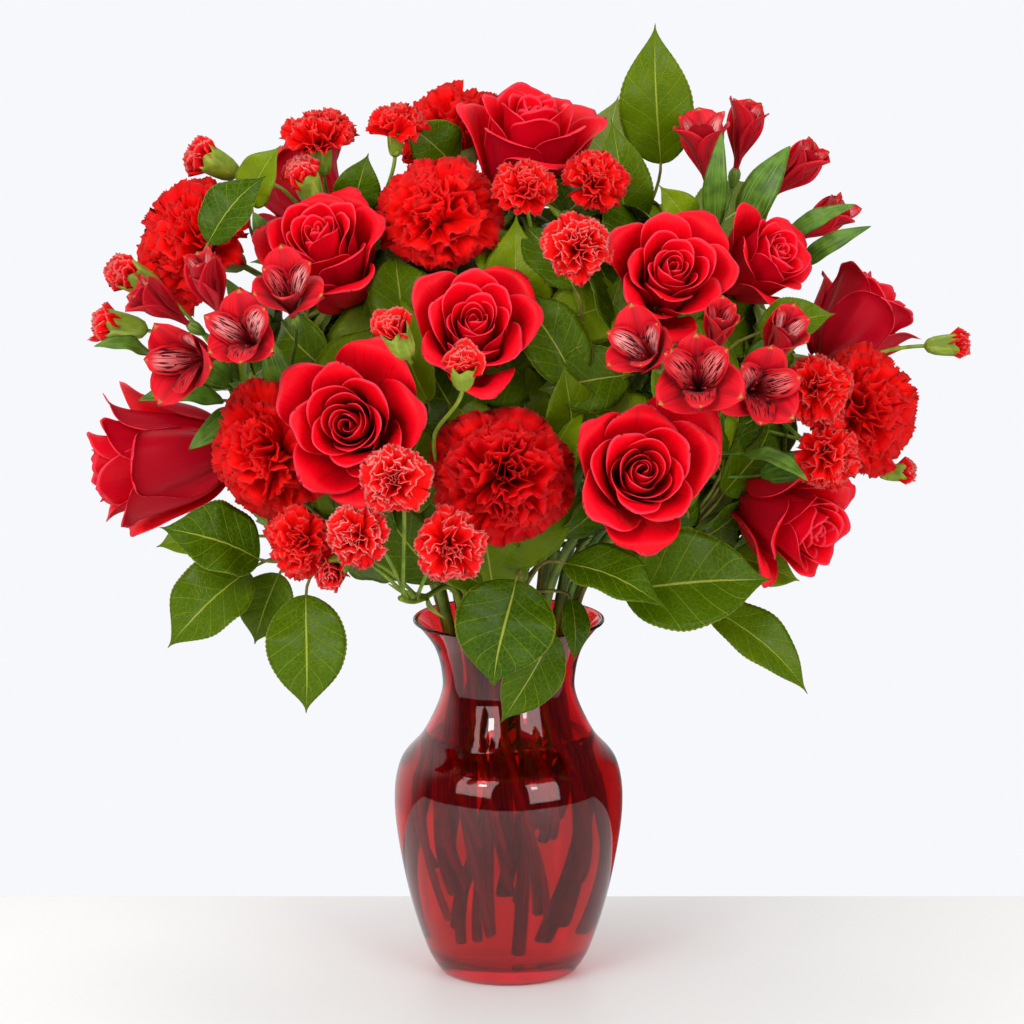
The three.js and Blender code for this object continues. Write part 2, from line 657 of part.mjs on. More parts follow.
// ---------------------------------------------------------------- plants

const plants = [];

function plant(name, kind, end, way, dress) {
  plants.push({ name, kind, radius: STEM_RADIUS[kind], end, way, dress });
}

for (const [name, bloom] of Object.entries(ROSES)) {
  const radius = bloom.width / 2;
  const { way, base, matrix } = seat(bloom, 0.6 * radius);
  const end = base.clone().addScaledVector(way, -0.2 * radius);
  plant(name, "rose", end, way, (cut) => [
    mesh(`${name}_stem`, fuse([cut, roseHip(radius).transform(matrix.elements)]), roseGreen),
    mesh(`${name}_petals`, roseBloom(bloom), roseRed, matrix),
  ]);
}

for (const [name, bloom] of Object.entries(CARNATIONS)) {
  const { way, base, matrix } = seat(bloom, 0.3 * bloom.width / 2);
  const end = base.clone().addScaledVector(way, -0.9 * CALYX_LENGTH);
  const cup = calyx(0.19 * bloom.width / 2 + 2, CALYX_LENGTH).transform(matrix.elements);
  plant(name, "carnation", end, way, (cut) => [
    mesh(`${name}_stem`, fuse([cut, cup]), carnationGreen),
    mesh(`${name}_petals`, carnationBloom(bloom), carnationRed, matrix),
  ]);
}

const outwards = (p) => new THREE.Vector3(p.x, p.y, Math.max(p.z - NECK_HEIGHT, 60)).normalize();

// A plant that forks: its parts grow from roots inside the last length of its stem, one below the other.
// Each part is a pair of the function that makes it and its place.
function forkedPlant(name, kind, fork, material, parts) {
  const end = vector(fork);
  plant(name, kind, end, outwards(end), (cut, path) => {
    const [before, last] = path.slice(-2);
    const low = before.distanceTo(last) - SUNK;
    const root = (k) => {
      const depth = Math.min(SUNK + k * ROOT_PITCH, low);
      return last.clone().lerp(before, depth / before.distanceTo(last));
    };
    return [mesh(name, fuse([cut, ...parts.map(([make, item], k) => make(root(k), item))]), material)];
  });
}

const made = (make, items) => items.map((item) => [make, item]);

for (const [name, { fork, blooms, buds }] of Object.entries(SPRAYS)) {
  forkedPlant(name, "spray", fork, sprayRed, [...made(sprayBloom, blooms), ...made(sprayBud, buds)]);
}

for (const [name, { fork, florets, leaves }] of Object.entries(LILIES)) {
  forkedPlant(name, "lily", fork, lilyRed, [...made(lilyFloret, florets), ...made(leaf, leaves)]);
}

for (const [name, { fork, leaves }] of Object.entries(BRANCHES)) {
  forkedPlant(name, "branch", fork, leafGreen, made(leaf, leaves));
}

// ---------------------------------------------------------------- the whole

bundle(plants);

const bouquet = new THREE.Group();
bouquet.add(mesh("vase", makeVase(), ruby));
bouquet.add(mesh("water", makeWater(plants), clearWater));
for (const each of plants) {
  const { cut, path } = stem(each);
  bouquet.add(...each.dress(cut, path));
}

export default bouquet;
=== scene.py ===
# %% [markdown]
# # A red bouquet in a ruby glass vase
#
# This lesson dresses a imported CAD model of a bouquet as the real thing: roses, carnations, spray
# carnations, Peruvian lilies and lemon-leaf branches, standing in water in a vase of ruby glass. The CAD
# model says where each bloom sits. Here each one gets its real petals, leaves and finish.
#
# The first step loads the CAD model as a fixed frame. Everything after it is in the same place and size.

# %% Load the frame
import math

import bpy
import numpy as np
from mathutils import Matrix


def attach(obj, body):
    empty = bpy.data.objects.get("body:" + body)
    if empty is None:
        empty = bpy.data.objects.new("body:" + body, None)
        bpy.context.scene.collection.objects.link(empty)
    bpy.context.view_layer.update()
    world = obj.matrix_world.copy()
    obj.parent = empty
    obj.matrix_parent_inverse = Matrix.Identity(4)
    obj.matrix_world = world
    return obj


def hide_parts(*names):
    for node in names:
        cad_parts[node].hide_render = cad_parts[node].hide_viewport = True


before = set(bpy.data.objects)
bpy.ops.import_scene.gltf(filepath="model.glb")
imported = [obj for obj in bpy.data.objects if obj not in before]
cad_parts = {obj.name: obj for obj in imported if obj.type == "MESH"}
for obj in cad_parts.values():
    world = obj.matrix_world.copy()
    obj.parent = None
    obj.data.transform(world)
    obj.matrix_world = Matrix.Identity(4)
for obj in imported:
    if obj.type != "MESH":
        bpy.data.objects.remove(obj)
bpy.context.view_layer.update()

MM = 0.001  # the tables below are in millimetres, and Blender works in metres
print("frame:", len(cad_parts), "nodes")

# %% [markdown]
# ## Where things face
#
# A florist turns each bloom to look out of the bouquet. Two angles say which way: how far it is turned
# from the front, and how far it looks up. A bloom is worked out upright, along +Z, and then swung to its way
# by the shortest turn, so that the same function makes every bloom of its kind.

# %% Ways and turns
def facing(turn, lift):
    """The way a bloom looks, as a unit vector: turn degrees from -Y towards +X, and lift degrees up."""
    t, l = math.radians(turn), math.radians(lift)
    return np.array([math.sin(t) * math.cos(l), -math.cos(t) * math.cos(l), math.sin(l)])


def unit(v):
    """The same vectors with length one."""
    return v / (np.linalg.norm(v, axis=-1, keepdims=True) + 1e-12)


def moved(part, base, way):
    """A part worked out along +Z, set on base to look along way. The shortest turn that takes +Z to way is
    1 + K + K K / (1 + cosine), with K the cross product by Z x way."""
    x, y = -way[1], way[0]
    k = np.array([[0, 0, y], [0, 0, -x], [-y, x, 0]])
    turn = np.eye(3) + k + k @ k / (1 + way[2])
    return part[0] @ turn.T + base, part[1], part[2]


def aim(base, tip, face):
    """The length from base to tip, the way along it, and the way up that is nearest to face."""
    length, along = np.linalg.norm(tip - base), unit(tip - base)
    return length, along, unit(np.cross(unit(np.cross(along, face)), along))


print("front way:", facing(0, 0))

# %% [markdown]
# ## Thin sheets
#
# A petal is a sheet less than half a millimetre thick. A single surface with no thickness renders, but it
# has no edge to catch the light, and some programs don't draw its back. So each sheet here is closed: two
# faces lie half the thickness off a middle surface, and they meet along its border. The middle is a grid of
# points, given by how far up the petal (v) and how far across it (u) each point lies.
#
# Each point also carries marks for its finish: u and v themselves, a tone that is different for each petal,
# the side (0 for the face that looks to the heart of the bloom and 1 for its back), the layer of the petal
# in its bloom, and how pale its edge is.

# %% Closed sheets on a grid
def sheet_faces(rows, cols):
    """Quads of one closed sheet: the front uses all of the grid's points, and the back has its own inner
    points but shares the border."""
    front = np.arange(rows * cols).reshape(rows, cols)
    back = front.copy()
    back[1:-1, 1:-1] = rows * cols + np.arange((rows - 2) * (cols - 2)).reshape(rows - 2, cols - 2)
    quads = lambda g: np.stack([g[:-1, :-1], g[:-1, 1:], g[1:, 1:], g[1:, :-1]], -1).reshape(-1, 4)
    return np.concatenate([quads(front), quads(back)[:, ::-1]])


def sheets(middle, thickness, u, v, tone=0.5, layer=0.0, pale=0.0):
    """Closed sheets round middle surfaces of shape (sheets, rows, cols, 3): the faces lie at the middle plus
    and minus half the thickness times the unit normal, which is across x along."""
    count, rows, cols, _ = middle.shape
    offset = unit(np.cross(np.gradient(middle, axis=2), np.gradient(middle, axis=1))) * thickness / 2
    offset[:, [0, -1]] = 0
    offset[:, :, [0, -1]] = 0
    side = 0.0
    marks = np.stack([np.broadcast_to(x, (count, rows, cols)) for x in (u, v, tone, side, layer, pale)], -1)
    behind = marks.copy()
    behind[..., 3] = 1

    def both(front, back):
        """All of the front's points, and then the back's inner ones."""
        back = back[:, 1:-1, 1:-1].reshape(count, (rows - 2) * (cols - 2), -1)
        return np.concatenate([front.reshape(count, rows * cols, -1), back], 1)

    points, marks = both(middle + offset, middle - offset), both(marks, behind)
    faces = sheet_faces(rows, cols)[None] + (np.arange(count) * points.shape[1])[:, None, None]
    return points.reshape(-1, 3), [faces.reshape(-1, 4)], marks.reshape(-1, 6)


print("one sheet of 15 x 17 points has", len(sheet_faces(15, 17)), "quads")

# %% [markdown]
# ## Round skins
#
# Stems, calyxes and the vase are round. Each is a stack of rings, and the first and last ring are closed
# over their middles. A ring runs anticlockwise as seen from where the stack is going, which makes the
# faces point outwards. A skin can be turned about an axis from a profile, or carried along a path as a
# tube, with its rings square to the path.

# %% Skins and tubes
def skin(rings, tone=0.5, side=1.0, layer=0.0, pale=0.0, length=None):
    """A closed skin over rings of shape (rows, sides, 3), with a fan of triangles over each end."""
    rows, sides, _ = rings.shape
    grid = np.arange(rows * sides).reshape(rows, sides)
    after = np.roll(grid, -1, 1)
    quads = np.stack([grid[:-1], after[:-1], after[1:], grid[1:]], -1).reshape(-1, 4)
    low, high = np.full(sides, rows * sides), np.full(sides, rows * sides + 1)
    caps = [np.stack([low, after[0], grid[0]], -1), np.stack([high, grid[-1], after[-1]], -1)]
    points = np.concatenate([rings.reshape(-1, 3), rings[0].mean(0)[None], rings[-1].mean(0)[None]])
    marks = np.empty((len(points), 6))
    marks[:, 0] = np.append(np.tile(np.linspace(0, 1, sides, endpoint=False), rows), [0.5, 0.5])
    along = np.linspace(0, 1, rows) if length is None else length
    marks[:, 1] = np.append(np.repeat(along, sides), [along[0], along[-1]])
    marks[:, 2:] = [tone, side, layer, pale]
    return points, [quads, np.concatenate(caps)], marks


def turned(profile, sides, wave=0.0, **marks):
    """A skin turned about +Z from rows of [radius, height]. wave adds a height to each point, by row and
    angle."""
    profile = np.asarray(profile, float)
    angle = np.linspace(0, 2 * np.pi, sides, endpoint=False)
    r, z = profile[:, :1], profile[:, 1:2]
    return skin(np.stack([r * np.cos(angle), r * np.sin(angle), z + wave + 0 * angle], -1), **marks)


def walked(path):
    """How far each point of a path lies from its start, measured along it."""
    return np.append(0, np.cumsum(np.linalg.norm(np.diff(path, axis=0), axis=1)))


def tube(path, radii, sides, **marks):
    """A skin along a path. Each ring lies square to the path, and its angles are counted from the direction
    that is square to the whole bend, so that the tube doesn't twist. v counts in tenths of a metre."""
    path = np.asarray(path, float)
    along = unit(np.gradient(path, axis=0))
    bend = np.cross(along[0], along[-1])
    if np.linalg.norm(bend) < 1e-3:  # a straight tube takes any direction that isn't its own
        bend = np.cross(along[0], np.roll([1.0, 0.2, 0.1], int(np.argmin(np.abs(along[0])))))
    across = unit(np.cross(along, bend))
    other = np.cross(along, across)
    angle = np.linspace(0, 2 * np.pi, sides, endpoint=False)[None, :, None]
    radii = np.broadcast_to(radii, len(path))[:, None, None]
    rings = path[:, None] + radii * (np.cos(angle) * across[:, None] + np.sin(angle) * other[:, None])
    return skin(rings, length=walked(path) / 100, **marks)


def bezier(start, leave, end, arrive, count, hold=0.38):
    """The smooth curve from start, setting out along leave, to end, arriving along arrive: a cubic whose
    handles are hold times the distance."""
    reach = np.linalg.norm(end - start) * hold
    w = np.linspace(0, 1, count)[:, None]
    return cubic(w, start, start + leave * reach, end - arrive * reach, end)


def cubic(w, a, b, c, d):
    """The cubic curve of Bezier form through a and d, with handles b and c."""
    return (1 - w) ** 3 * a + 3 * (1 - w) ** 2 * w * b + 3 * (1 - w) * w**2 * c + w**3 * d


UP = np.array([0, 0, 1.0])
print("a tube of 10 rings has", len(tube(bezier(0 * UP, UP, 20 * UP, UP, 10), 1, 8)[0]), "points")

# %% [markdown]
# ## From arrays to a piece
#
# A piece is one mesh with one finish, such as all the petals of one rose. Its surfaces are joined as arrays
# and put into the mesh in one go. The marks become a UV map and attributes, which the materials read. The
# piece rides on the body of the frame, and the CAD node it stands for is hidden.

# %% Make a piece
made = {}  # the triangles of each piece


def piece(name, parts, finish, node):
    """Joins parts, given in millimetres, to one object with the marks as its UV map and attributes."""
    starts = np.cumsum([0] + [len(points) for points, _, _ in parts])
    points = np.concatenate([points for points, _, _ in parts]) * MM
    marks = np.concatenate([marks for _, _, marks in parts]).astype(np.float32)
    faces = [f + start for (_, found, _), start in zip(parts, starts) for f in found]
    corners = np.concatenate([f.ravel() for f in faces]).astype(np.int32)
    sizes = np.concatenate([np.full(len(f), f.shape[1]) for f in faces])
    mesh = bpy.data.meshes.new(name)
    mesh.vertices.add(len(points))
    mesh.vertices.foreach_set("co", points.ravel())
    mesh.loops.add(len(corners))
    mesh.loops.foreach_set("vertex_index", corners)
    mesh.polygons.add(len(sizes))
    mesh.polygons.foreach_set("loop_start", np.append(0, np.cumsum(sizes)[:-1]).astype(np.int32))
    mesh.update(calc_edges=True)
    mesh.polygons.foreach_set("use_smooth", np.full(len(sizes), True))
    mesh.uv_layers.new(name="place").data.foreach_set("uv", marks[corners, :2].ravel())
    mesh.attributes.new("mark", "FLOAT_VECTOR", "POINT").data.foreach_set("vector", marks[:, 2:5].ravel())
    mesh.attributes.new("pale", "FLOAT", "POINT").data.foreach_set("value", marks[:, 5].copy())
    mesh.materials.append(finish)
    thing = bpy.data.objects.new(name, mesh)
    bpy.context.scene.collection.objects.link(thing)
    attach(thing, "root")
    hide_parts(node)
    made[name] = int((sizes - 2).sum())


print("pieces stand for", len(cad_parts), "nodes")

# %% [markdown]
# ## Finishes
#
# A finish is a node tree. One function adds a node with its settings and links, and one turns the hex
# colours of a paint chart to the linear values that Blender works in. A colour is built up as a painter
# would: a ground first, and then coats, each laid on by its own share. A share can follow a pattern or a
# place on the petal, from where the coat begins to where it is full.

# %% Tools for finishes
def hex_color(code):
    """An sRGB hex colour as linear red, green, blue and alpha: c / 12.92 below 0.04045, else
    ((c + 0.055) / 1.055) to the power 2.4."""
    c = np.array([int(code[i : i + 2], 16) for i in (1, 3, 5)]) / 255
    return (*np.where(c <= 0.04045, c / 12.92, ((c + 0.055) / 1.055) ** 2.4), 1.0)


def add(tree, kind, inputs, **settings):
    """Adds a node. settings are its own properties. inputs are what its sockets take: another node, whose
    first output is linked, an output socket, a hex colour or a plain value."""
    node = tree.nodes.new("ShaderNode" + kind)
    for name, value in settings.items():
        setattr(node, name, value)
    for socket, value in inputs.items():
        if isinstance(value, bpy.types.Node):
            value = value.outputs[0]
        if isinstance(value, bpy.types.NodeSocket):
            tree.links.new(value, node.inputs[socket])
        else:
            node.inputs[socket].default_value = hex_color(value) if isinstance(value, str) else value
    return node


def new_finish(name):
    """A new material, its empty node tree, and the marks of the piece by name. spot is the place on the
    object in metres, so a noise of scale 100 has clouds of 10 mm."""
    material = bpy.data.materials.new(name)
    material.use_nodes = True
    tree = material.node_tree
    tree.nodes.clear()
    place = add(tree, "SeparateXYZ", {0: add(tree, "UVMap", {}, uv_map="place")}).outputs
    mark = add(tree, "SeparateXYZ", {0: add(tree, "Attribute", {}, attribute_name="mark").outputs["Vector"]})
    m = dict(zip(("u", "v", "tone", "side", "layer"), (*place[:2], *mark.outputs)))
    m["pale"] = add(tree, "Attribute", {}, attribute_name="pale").outputs["Fac"]
    m["spot"] = add(tree, "TexCoord", {}).outputs["Object"]
    return material, tree, m


def painted(tree, ground, *coats):
    """The ground with its coats laid over it in order. A coat is its colour and its share, or its colour, a
    value, and at which value it begins, at which it is full, and its full share."""
    for colour, share, *reach in coats:
        if reach:
            steps = dict(zip((1, 2, 4), reach))
            share = add(tree, "MapRange", {0: share, **steps}, interpolation_type="SMOOTHSTEP")
        ground = add(tree, "Mix", {0: share, 6: ground, 7: colour}, data_type="RGBA").outputs[2]
    return ground


def grain(tree, m, across, along, detail=2.0):
    """Noise that runs up a petal or a stem: it is sampled at u times across and v times along, in a slice of
    its own for each petal."""
    rows = (("u", across), ("v", along), ("tone", 40.0))
    scaled = [add(tree, "Math", {0: m[key], 1: times}, operation="MULTIPLY") for key, times in rows]
    place = add(tree, "CombineXYZ", dict(enumerate(scaled)))
    return add(tree, "TexNoise", {"Vector": place, "Scale": 1.0, "Detail": detail})


def closed(material, tree, inputs):
    """The material, once its one shader has been given what its sockets take."""
    add(tree, "OutputMaterial", {"Surface": add(tree, "BsdfPrincipled", inputs)})
    return material


print("pure red in linear light:", hex_color("#E4001F")[:3])

# %% [markdown]
# ## Velvet rose petals
#
# A red rose petal is a thin leaf of colour whose upper skin is covered with tiny cones. They drink the light
# that falls straight on them and return it at a slant, which is why the inner face is a deep, velvety red
# with a faint red bloom where it turns away. The back is a deeper crimson, deepest on the guard petals
# outside. The very edge is thin, and a painted highlight makes it pale. Fine veins run up the petal. The
# sheen is set for the cones, the colours come from the side and the place on the petal, with painted shade
# deep in the heart, and the veins and cones are bumps.

# %% Rose petal finish
def rose_petal_finish():
    """Red rose petal: nearly matt, so the eye sees full colour, with a painted highlight along its edge and
    painted shade deep in the heart.
    """
    material, tree, m = new_finish("rose petal, velvety skin")
    cloud = add(tree, "TexNoise", {"Vector": m["spot"], "Scale": 90.0, "Detail": 3.0})  # 11 mm clouds
    veins = grain(tree, m, 22.0, 2.2)
    inner = painted(tree, "#E60016", ("#FC061E", m["tone"]))
    outer = painted(tree, "#C80018", ("#E40624", m["tone"]), ("#A4001C", m["layer"], 0.45, 0.8, 0.85))
    colour = painted(
        tree, inner, (outer, m["side"]),
        ("#8C000C", m["v"], 0.6, 0.1, 0.55),  # painted shade deep in the heart
        ("#C20014", cloud, 0.3, 0.7, 0.24),
        ("#AE0018", veins, 0.5, 0.7, 0.3),
        ("#FA4860", m["v"], 0.955, 1.0, 0.7),  # a painted highlight along the thin lip
    )
    # Veins 1 mm apart run up the petal, and the cones of the skin are drawn coarse enough to show.
    cones = add(tree, "TexNoise", {"Vector": m["spot"], "Scale": 1400.0, "Detail": 1.0})
    bump = add(tree, "Bump", {"Height": veins, "Strength": 0.25, "Distance": 0.0006})
    fine = add(tree, "Bump", {"Height": cones, "Strength": 0.1, "Distance": 0.0003, "Normal": bump})
    return closed(material, tree, {
        "Base Color": colour, "Normal": fine, "IOR": 1.38, "Specular IOR Level": 0.22,
        "Roughness": add(tree, "MapRange", {0: cloud, 1: 0.3, 2: 0.7, 3: 0.36, 4: 0.54}),
        "Sheen Weight": 0.1, "Sheen Roughness": 0.35, "Sheen Tint": "#FF3048",
        "Subsurface Weight": 0.15, "Subsurface Radius": (1.0, 0.08, 0.06), "Subsurface Scale": 0.003,
    })


rose_petal = rose_petal_finish()
print("made", rose_petal.name)

# %% [markdown]
# ## Carnation petals
#
# A carnation's petal is paper thin and matt, a warmer red than the rose's, with fine folds that fan out from
# its claw. Painted shade darkens the fans deep between each other, and a painted highlight lightens the thin
# toothed edge. On the little spray carnations the edge itself is paler, nearly white. One finish serves
# both: the pale mark says how far the edge turns to pink.

# %% Carnation petal finish
def carnation_petal_finish():
    """Carnation petal: matt and thin, so it glows where light comes through and is dark in its folds, with
    painted shade deep between the fans and a painted highlight on the edge.
    """
    material, tree, m = new_finish("carnation petal, thin and matt")
    cloud = add(tree, "TexNoise", {"Vector": m["spot"], "Scale": 160.0, "Detail": 3.0})  # 6 mm clouds
    flushed, frosted = (add(tree, "Math", {0: m["pale"], 1: x}, operation="MULTIPLY") for x in (0.6, 1.3))
    inner = painted(tree, "#C80008", ("#FF140E", m["tone"]))
    outer = painted(tree, "#C4000C", ("#F41412", m["tone"]))
    colour = painted(
        tree, inner, (outer, m["side"]),
        ("#8E0006", m["v"], 0.6, 0.2, 0.6),  # painted shade deep between the fans
        ("#B0000A", cloud, 0.35, 0.7, 0.3),
        ("#FA3034", m["v"], 0.5, 0.95, flushed),
        ("#FA383C", m["v"], 0.94, 1.0, 0.3),  # a painted highlight along the thin edge
        ("#FBB4AE", m["v"], 0.94, 0.995, frosted),
    )
    folds = grain(tree, m, 14.0, 1.5)
    return closed(material, tree, {
        "Base Color": colour, "IOR": 1.36, "Specular IOR Level": 0.1,
        "Normal": add(tree, "Bump", {"Height": folds, "Strength": 0.3, "Distance": 0.0008}),
        "Roughness": add(tree, "MapRange", {0: cloud, 1: 0.3, 2: 0.7, 3: 0.55, 4: 0.7}),
        "Sheen Weight": 0.03, "Sheen Roughness": 0.5, "Sheen Tint": "#FF4A40",
        "Subsurface Weight": 0.25, "Subsurface Radius": (1.0, 0.1, 0.06), "Subsurface Scale": 0.0014,
    })


carnation_petal = carnation_petal_finish()
print("made", carnation_petal.name)

# %% [markdown]
# ## Lily petals
#
# The Peruvian lily has two whorls. The three wide petals are a plain, slightly glossy crimson with a dusky
# middle line and a small green point. The three narrow ones between them are pale pink inside, and dashed
# with dark maroon streaks that lead a bee into the throat. The layer mark tells the two apart: 0 is plain
# and 1 is streaked.

# %% Lily petal finish
def lily_petal_finish():
    """Lily petal: a waxy skin with a soft shine, silky along its length, and streaked inside."""
    material, tree, m = new_finish("lily petal, waxy skin")
    spread = add(tree, "Math", {0: m["u"]}, operation="ABSOLUTE")
    silk, dashes = grain(tree, m, 9.0, 1.2, 3.0), grain(tree, m, 13.0, 4.5, 1.0)
    plain = painted(
        tree, "#C2021A", ("#A8061E", m["side"]), ("#E61826", silk, 0.35, 0.7, 0.7),
        ("#96041A", m["v"], 0.75, 0.25, 0.6),  # painted shade, dusky in the throat
        ("#7A0416", spread, 0.3, 0.02, 0.4),  # the middle line
    )
    pale = painted(tree, "#DC2430", ("#F49A98", m["tone"], 0.3, 0.8, 1.0))
    streaked = painted(
        tree, "#B41020", (pale, m["v"], 0.3, 0.55, 1.0),
        ("#CC0A1C", spread, 0.35, 0.8, 1.0),  # red at both sides
        ("#480410", dashes, 0.525, 0.55, 1.0),
        ("#C60C1E", m["v"], 0.8, 0.95, 1.0),  # red at the tip
        ("#A80C20", m["side"]),
    )
    middle = add(tree, "MapRange", {0: spread, 1: 0.3, 2: 0.1, 4: 0.8}, interpolation_type="SMOOTHSTEP")
    colour = painted(tree, plain, (streaked, m["layer"]), ("#8C9438", m["v"], 0.94, 0.985, middle))
    return closed(material, tree, {
        "Base Color": colour, "IOR": 1.4, "Specular IOR Level": 0.28, "Sheen Weight": 0.04,
        "Normal": add(tree, "Bump", {"Height": silk, "Strength": 0.3, "Distance": 0.0006}),
        "Roughness": add(tree, "MapRange", {0: silk, 1: 0.3, 2: 0.7, 3: 0.34, 4: 0.5}),
        "Subsurface Weight": 0.15, "Subsurface Radius": (1.0, 0.15, 0.1), "Subsurface Scale": 0.003,
    })


lily_petal = lily_petal_finish()
print("made", lily_petal.name)

# %% [markdown]
# ## Lemon leaf
#
# Florists call salal lemon leaf. The blade is tough and leathery, a deep olive green with a gloss, and a fine
# net of veins divides it into cushions. A pale midrib runs to the tip, and side veins arch forward from it.
# The underside is matt and a paler, greyer green, and the margin is thin and light. The veins are lines
# worked out from u and v: a side vein is where v less a share of the distance from the rib comes round to a
# whole number. Each leaf is darker or lighter by its tone.

# %% Leaf finish
SIDE_VEINS, VEIN_LEAN, VEIN_BEND = 7.0, 1.7, 0.8  # their number, and how far and how steeply they arch


def leaf_finish():
    """Salal leaf: leathery, with a waxed upper face that shines in patches and a dull underside."""
    material, tree, m = new_finish("lemon leaf, leathery blade")
    spread = add(tree, "Math", {0: m["u"]}, operation="ABSOLUTE")
    climb = add(tree, "Math", {0: m["v"], 1: SIDE_VEINS}, operation="MULTIPLY")
    arch = add(tree, "Math", {0: spread, 1: VEIN_BEND}, operation="POWER")
    phase = add(tree, "Math", {0: arch, 1: -VEIN_LEAN, 2: climb}, operation="MULTIPLY_ADD")
    away = add(tree, "Math", {0: phase, 1: 0.5}, operation="PINGPONG")
    cell_edge = {"Vector": m["spot"], "Scale": 330.0}  # 3 mm cushions
    net = add(tree, "TexVoronoi", cell_edge, feature="DISTANCE_TO_EDGE")
    cloud = add(tree, "TexNoise", {"Vector": m["spot"], "Scale": 70.0, "Detail": 4.0})  # 14 mm clouds
    nets, side_veins, rib = (net, 0.12, 0.02), (away, 0.035, 0.008), (spread, 0.035, 0.012)
    upper = painted(
        tree, "#2C4601", ("#7C920C", m["tone"]), ("#3E5A01", cloud, 0.35, 0.7, 0.5),
        ("#6E840C", *nets, 0.17), ("#8E9E26", *side_veins, 0.42), ("#A8B044", *rib, 0.62),
    )
    under = painted(tree, "#76883A", ("#9EAA60", *side_veins, 1.0), ("#B0BA70", *rib, 1.0))
    colour = painted(tree, upper, (under, m["side"]), ("#98A636", spread, 0.94, 0.99, 0.55))
    lines = [
        add(tree, "MapRange", {0: value, 1: begins, 2: full, 4: depth}, interpolation_type="SMOOTHSTEP")
        for (value, begins, full), depth in ((nets, 0.3), (side_veins, 1.0), (rib, 1.0))
    ]
    veins = add(tree, "Math", {0: lines[1], 1: lines[2]}, operation="MAXIMUM")
    sunk = add(tree, "Math", {0: lines[0], 1: veins}, operation="ADD")
    gloss = add(tree, "MapRange", {0: cloud, 1: 0.3, 2: 0.7, 3: 0.16, 4: 0.36})
    dull = {0: m["side"], 1: 0.28, 2: gloss}  # the underside is that much rougher
    return closed(material, tree, {
        "Base Color": colour, "IOR": 1.45, "Specular IOR Level": 0.13,
        "Normal": add(tree, "Bump", {"Height": sunk, "Strength": 0.55, "Distance": 0.0005}, invert=True),
        "Roughness": add(tree, "Math", dull, operation="MULTIPLY_ADD"),
        "Subsurface Weight": 0.06, "Subsurface Radius": (0.4, 0.6, 0.05), "Subsurface Scale": 0.003,
    })


lemon_leaf = leaf_finish()
print("made", lemon_leaf.name)

# %% [markdown]
# ## Green parts
#
# Stems, calyxes, sepals and strap leaves are all green, but not the same green. A rose's stem is a fresh,
# slightly glossy green. A carnation's is dusted with a grey wax that rubs off on a finger. A woody branch is
# olive and brown. One function makes each of them from three colours and a gloss. Fine ribs run along the
# length, and clouds of the second colour break up the first.

# %% Finish of the green parts
def green_finish(name, light, dark, tip, roughness, ribs):
    """Skin of a stem or calyx: clouds of two greens, streaked and tipped with a third along fine ribs."""
    material, tree, m = new_finish(name)
    cloud = add(tree, "TexNoise", {"Vector": m["spot"], "Scale": 130.0, "Detail": 4.0})  # 8 mm clouds
    streaks = grain(tree, m, ribs, 2.0)
    smooth, rough = roughness - 0.07, roughness + 0.08
    return closed(material, tree, {
        "Base Color": painted(
            tree, dark, (light, cloud, 0.32, 0.68, 1.0), (tip, m["pale"]), (tip, streaks, 0.5, 0.7, 0.5)
        ),
        "Normal": add(tree, "Bump", {"Height": streaks, "Strength": 0.4, "Distance": 0.0004}),
        "Roughness": add(tree, "MapRange", {0: cloud, 1: 0.3, 2: 0.7, 3: smooth, 4: rough}),
        "IOR": 1.42, "Specular IOR Level": 0.35,
        "Subsurface Weight": 0.05, "Subsurface Radius": (0.4, 0.6, 0.1), "Subsurface Scale": 0.003,
    })


rose_green = green_finish("rose stem, fresh skin", "#6A8220", "#485E10", "#9CA84C", 0.42, 14.0)
carnation_green = green_finish("carnation stem, waxy bloom", "#86984A", "#647A32", "#B2BC78", 0.5, 12.0)
spray_green = green_finish("spray carnation calyx, waxy", "#7C9620", "#5A7412", "#B6C25E", 0.45, 12.0)
lily_green = green_finish("lily stem and strap leaf", "#567E22", "#385A10", "#8EA648", 0.4, 16.0)
branch_bark = green_finish("lemon-leaf twig, thin bark", "#787C2C", "#54501E", "#9A763C", 0.55, 10.0)
print("made five greens")

# %% [markdown]
# ## The places of the blooms
#
# Every bloom and large leaf has a row in a table: where it is, which way it looks and how wide it is, in
# millimetres and degrees. These are the values of the CAD source, so that each piece stays where its CAD
# node is. A rose row may also say how far it is blown open past its CAD width, how far its outer petals
# spread, and how deep it is.

# %% Roses and carnations
def bloom_at(x, y, z, turn, lift, width, **more):
    """A bloom's row: its middle, the way it looks (turn and lift, in degrees) and its width."""
    return dict(at=[x, y, z], turn=turn, lift=lift, width=width, **more)


def leaf_at(base, tip, width, face, **more):
    """A leaf's row: where its blade begins and ends, its width, and where its upper face looks."""
    return dict(base=base, tip=tip, width=width, face=face, **more)


ROSES = {
    "rose_top": bloom_at(12, -8, 479, 25, 72, 82, grown=1.1, spread=0.92),
    "rose_upper_left": bloom_at(-101, -82, 428, -18, 48, 84, spread=0.94),
    "rose_centre": bloom_at(-18, -122, 389, 2, 34, 80),
    "rose_upper_right": bloom_at(87, -110, 416, 10, 30, 78),
    "rose_right": bloom_at(143, -62, 417, 48, 30, 66, spread=0.86),
    "rose_far_right": bloom_at(199, 18, 377, 112, 45, 72, grown=1.08, spread=0.84),
    "rose_front_left": bloom_at(-84, -150, 340, -8, 14, 90),
    "rose_far_left": bloom_at(-202, -20, 294, -86, -6, 84, grown=1.14, spread=0.8, deep=1.2),
    "rose_front_right": bloom_at(70, -160, 317, 6, 18, 90),
    "rose_low_right": bloom_at(160, -82, 272, 48, -16, 72, grown=1.14, spread=0.8),
    "rose_back_left": bloom_at(-122, 46, 444, -135, 42, 74),
    "rose_back": bloom_at(66, 116, 380, 158, 30, 88),
}
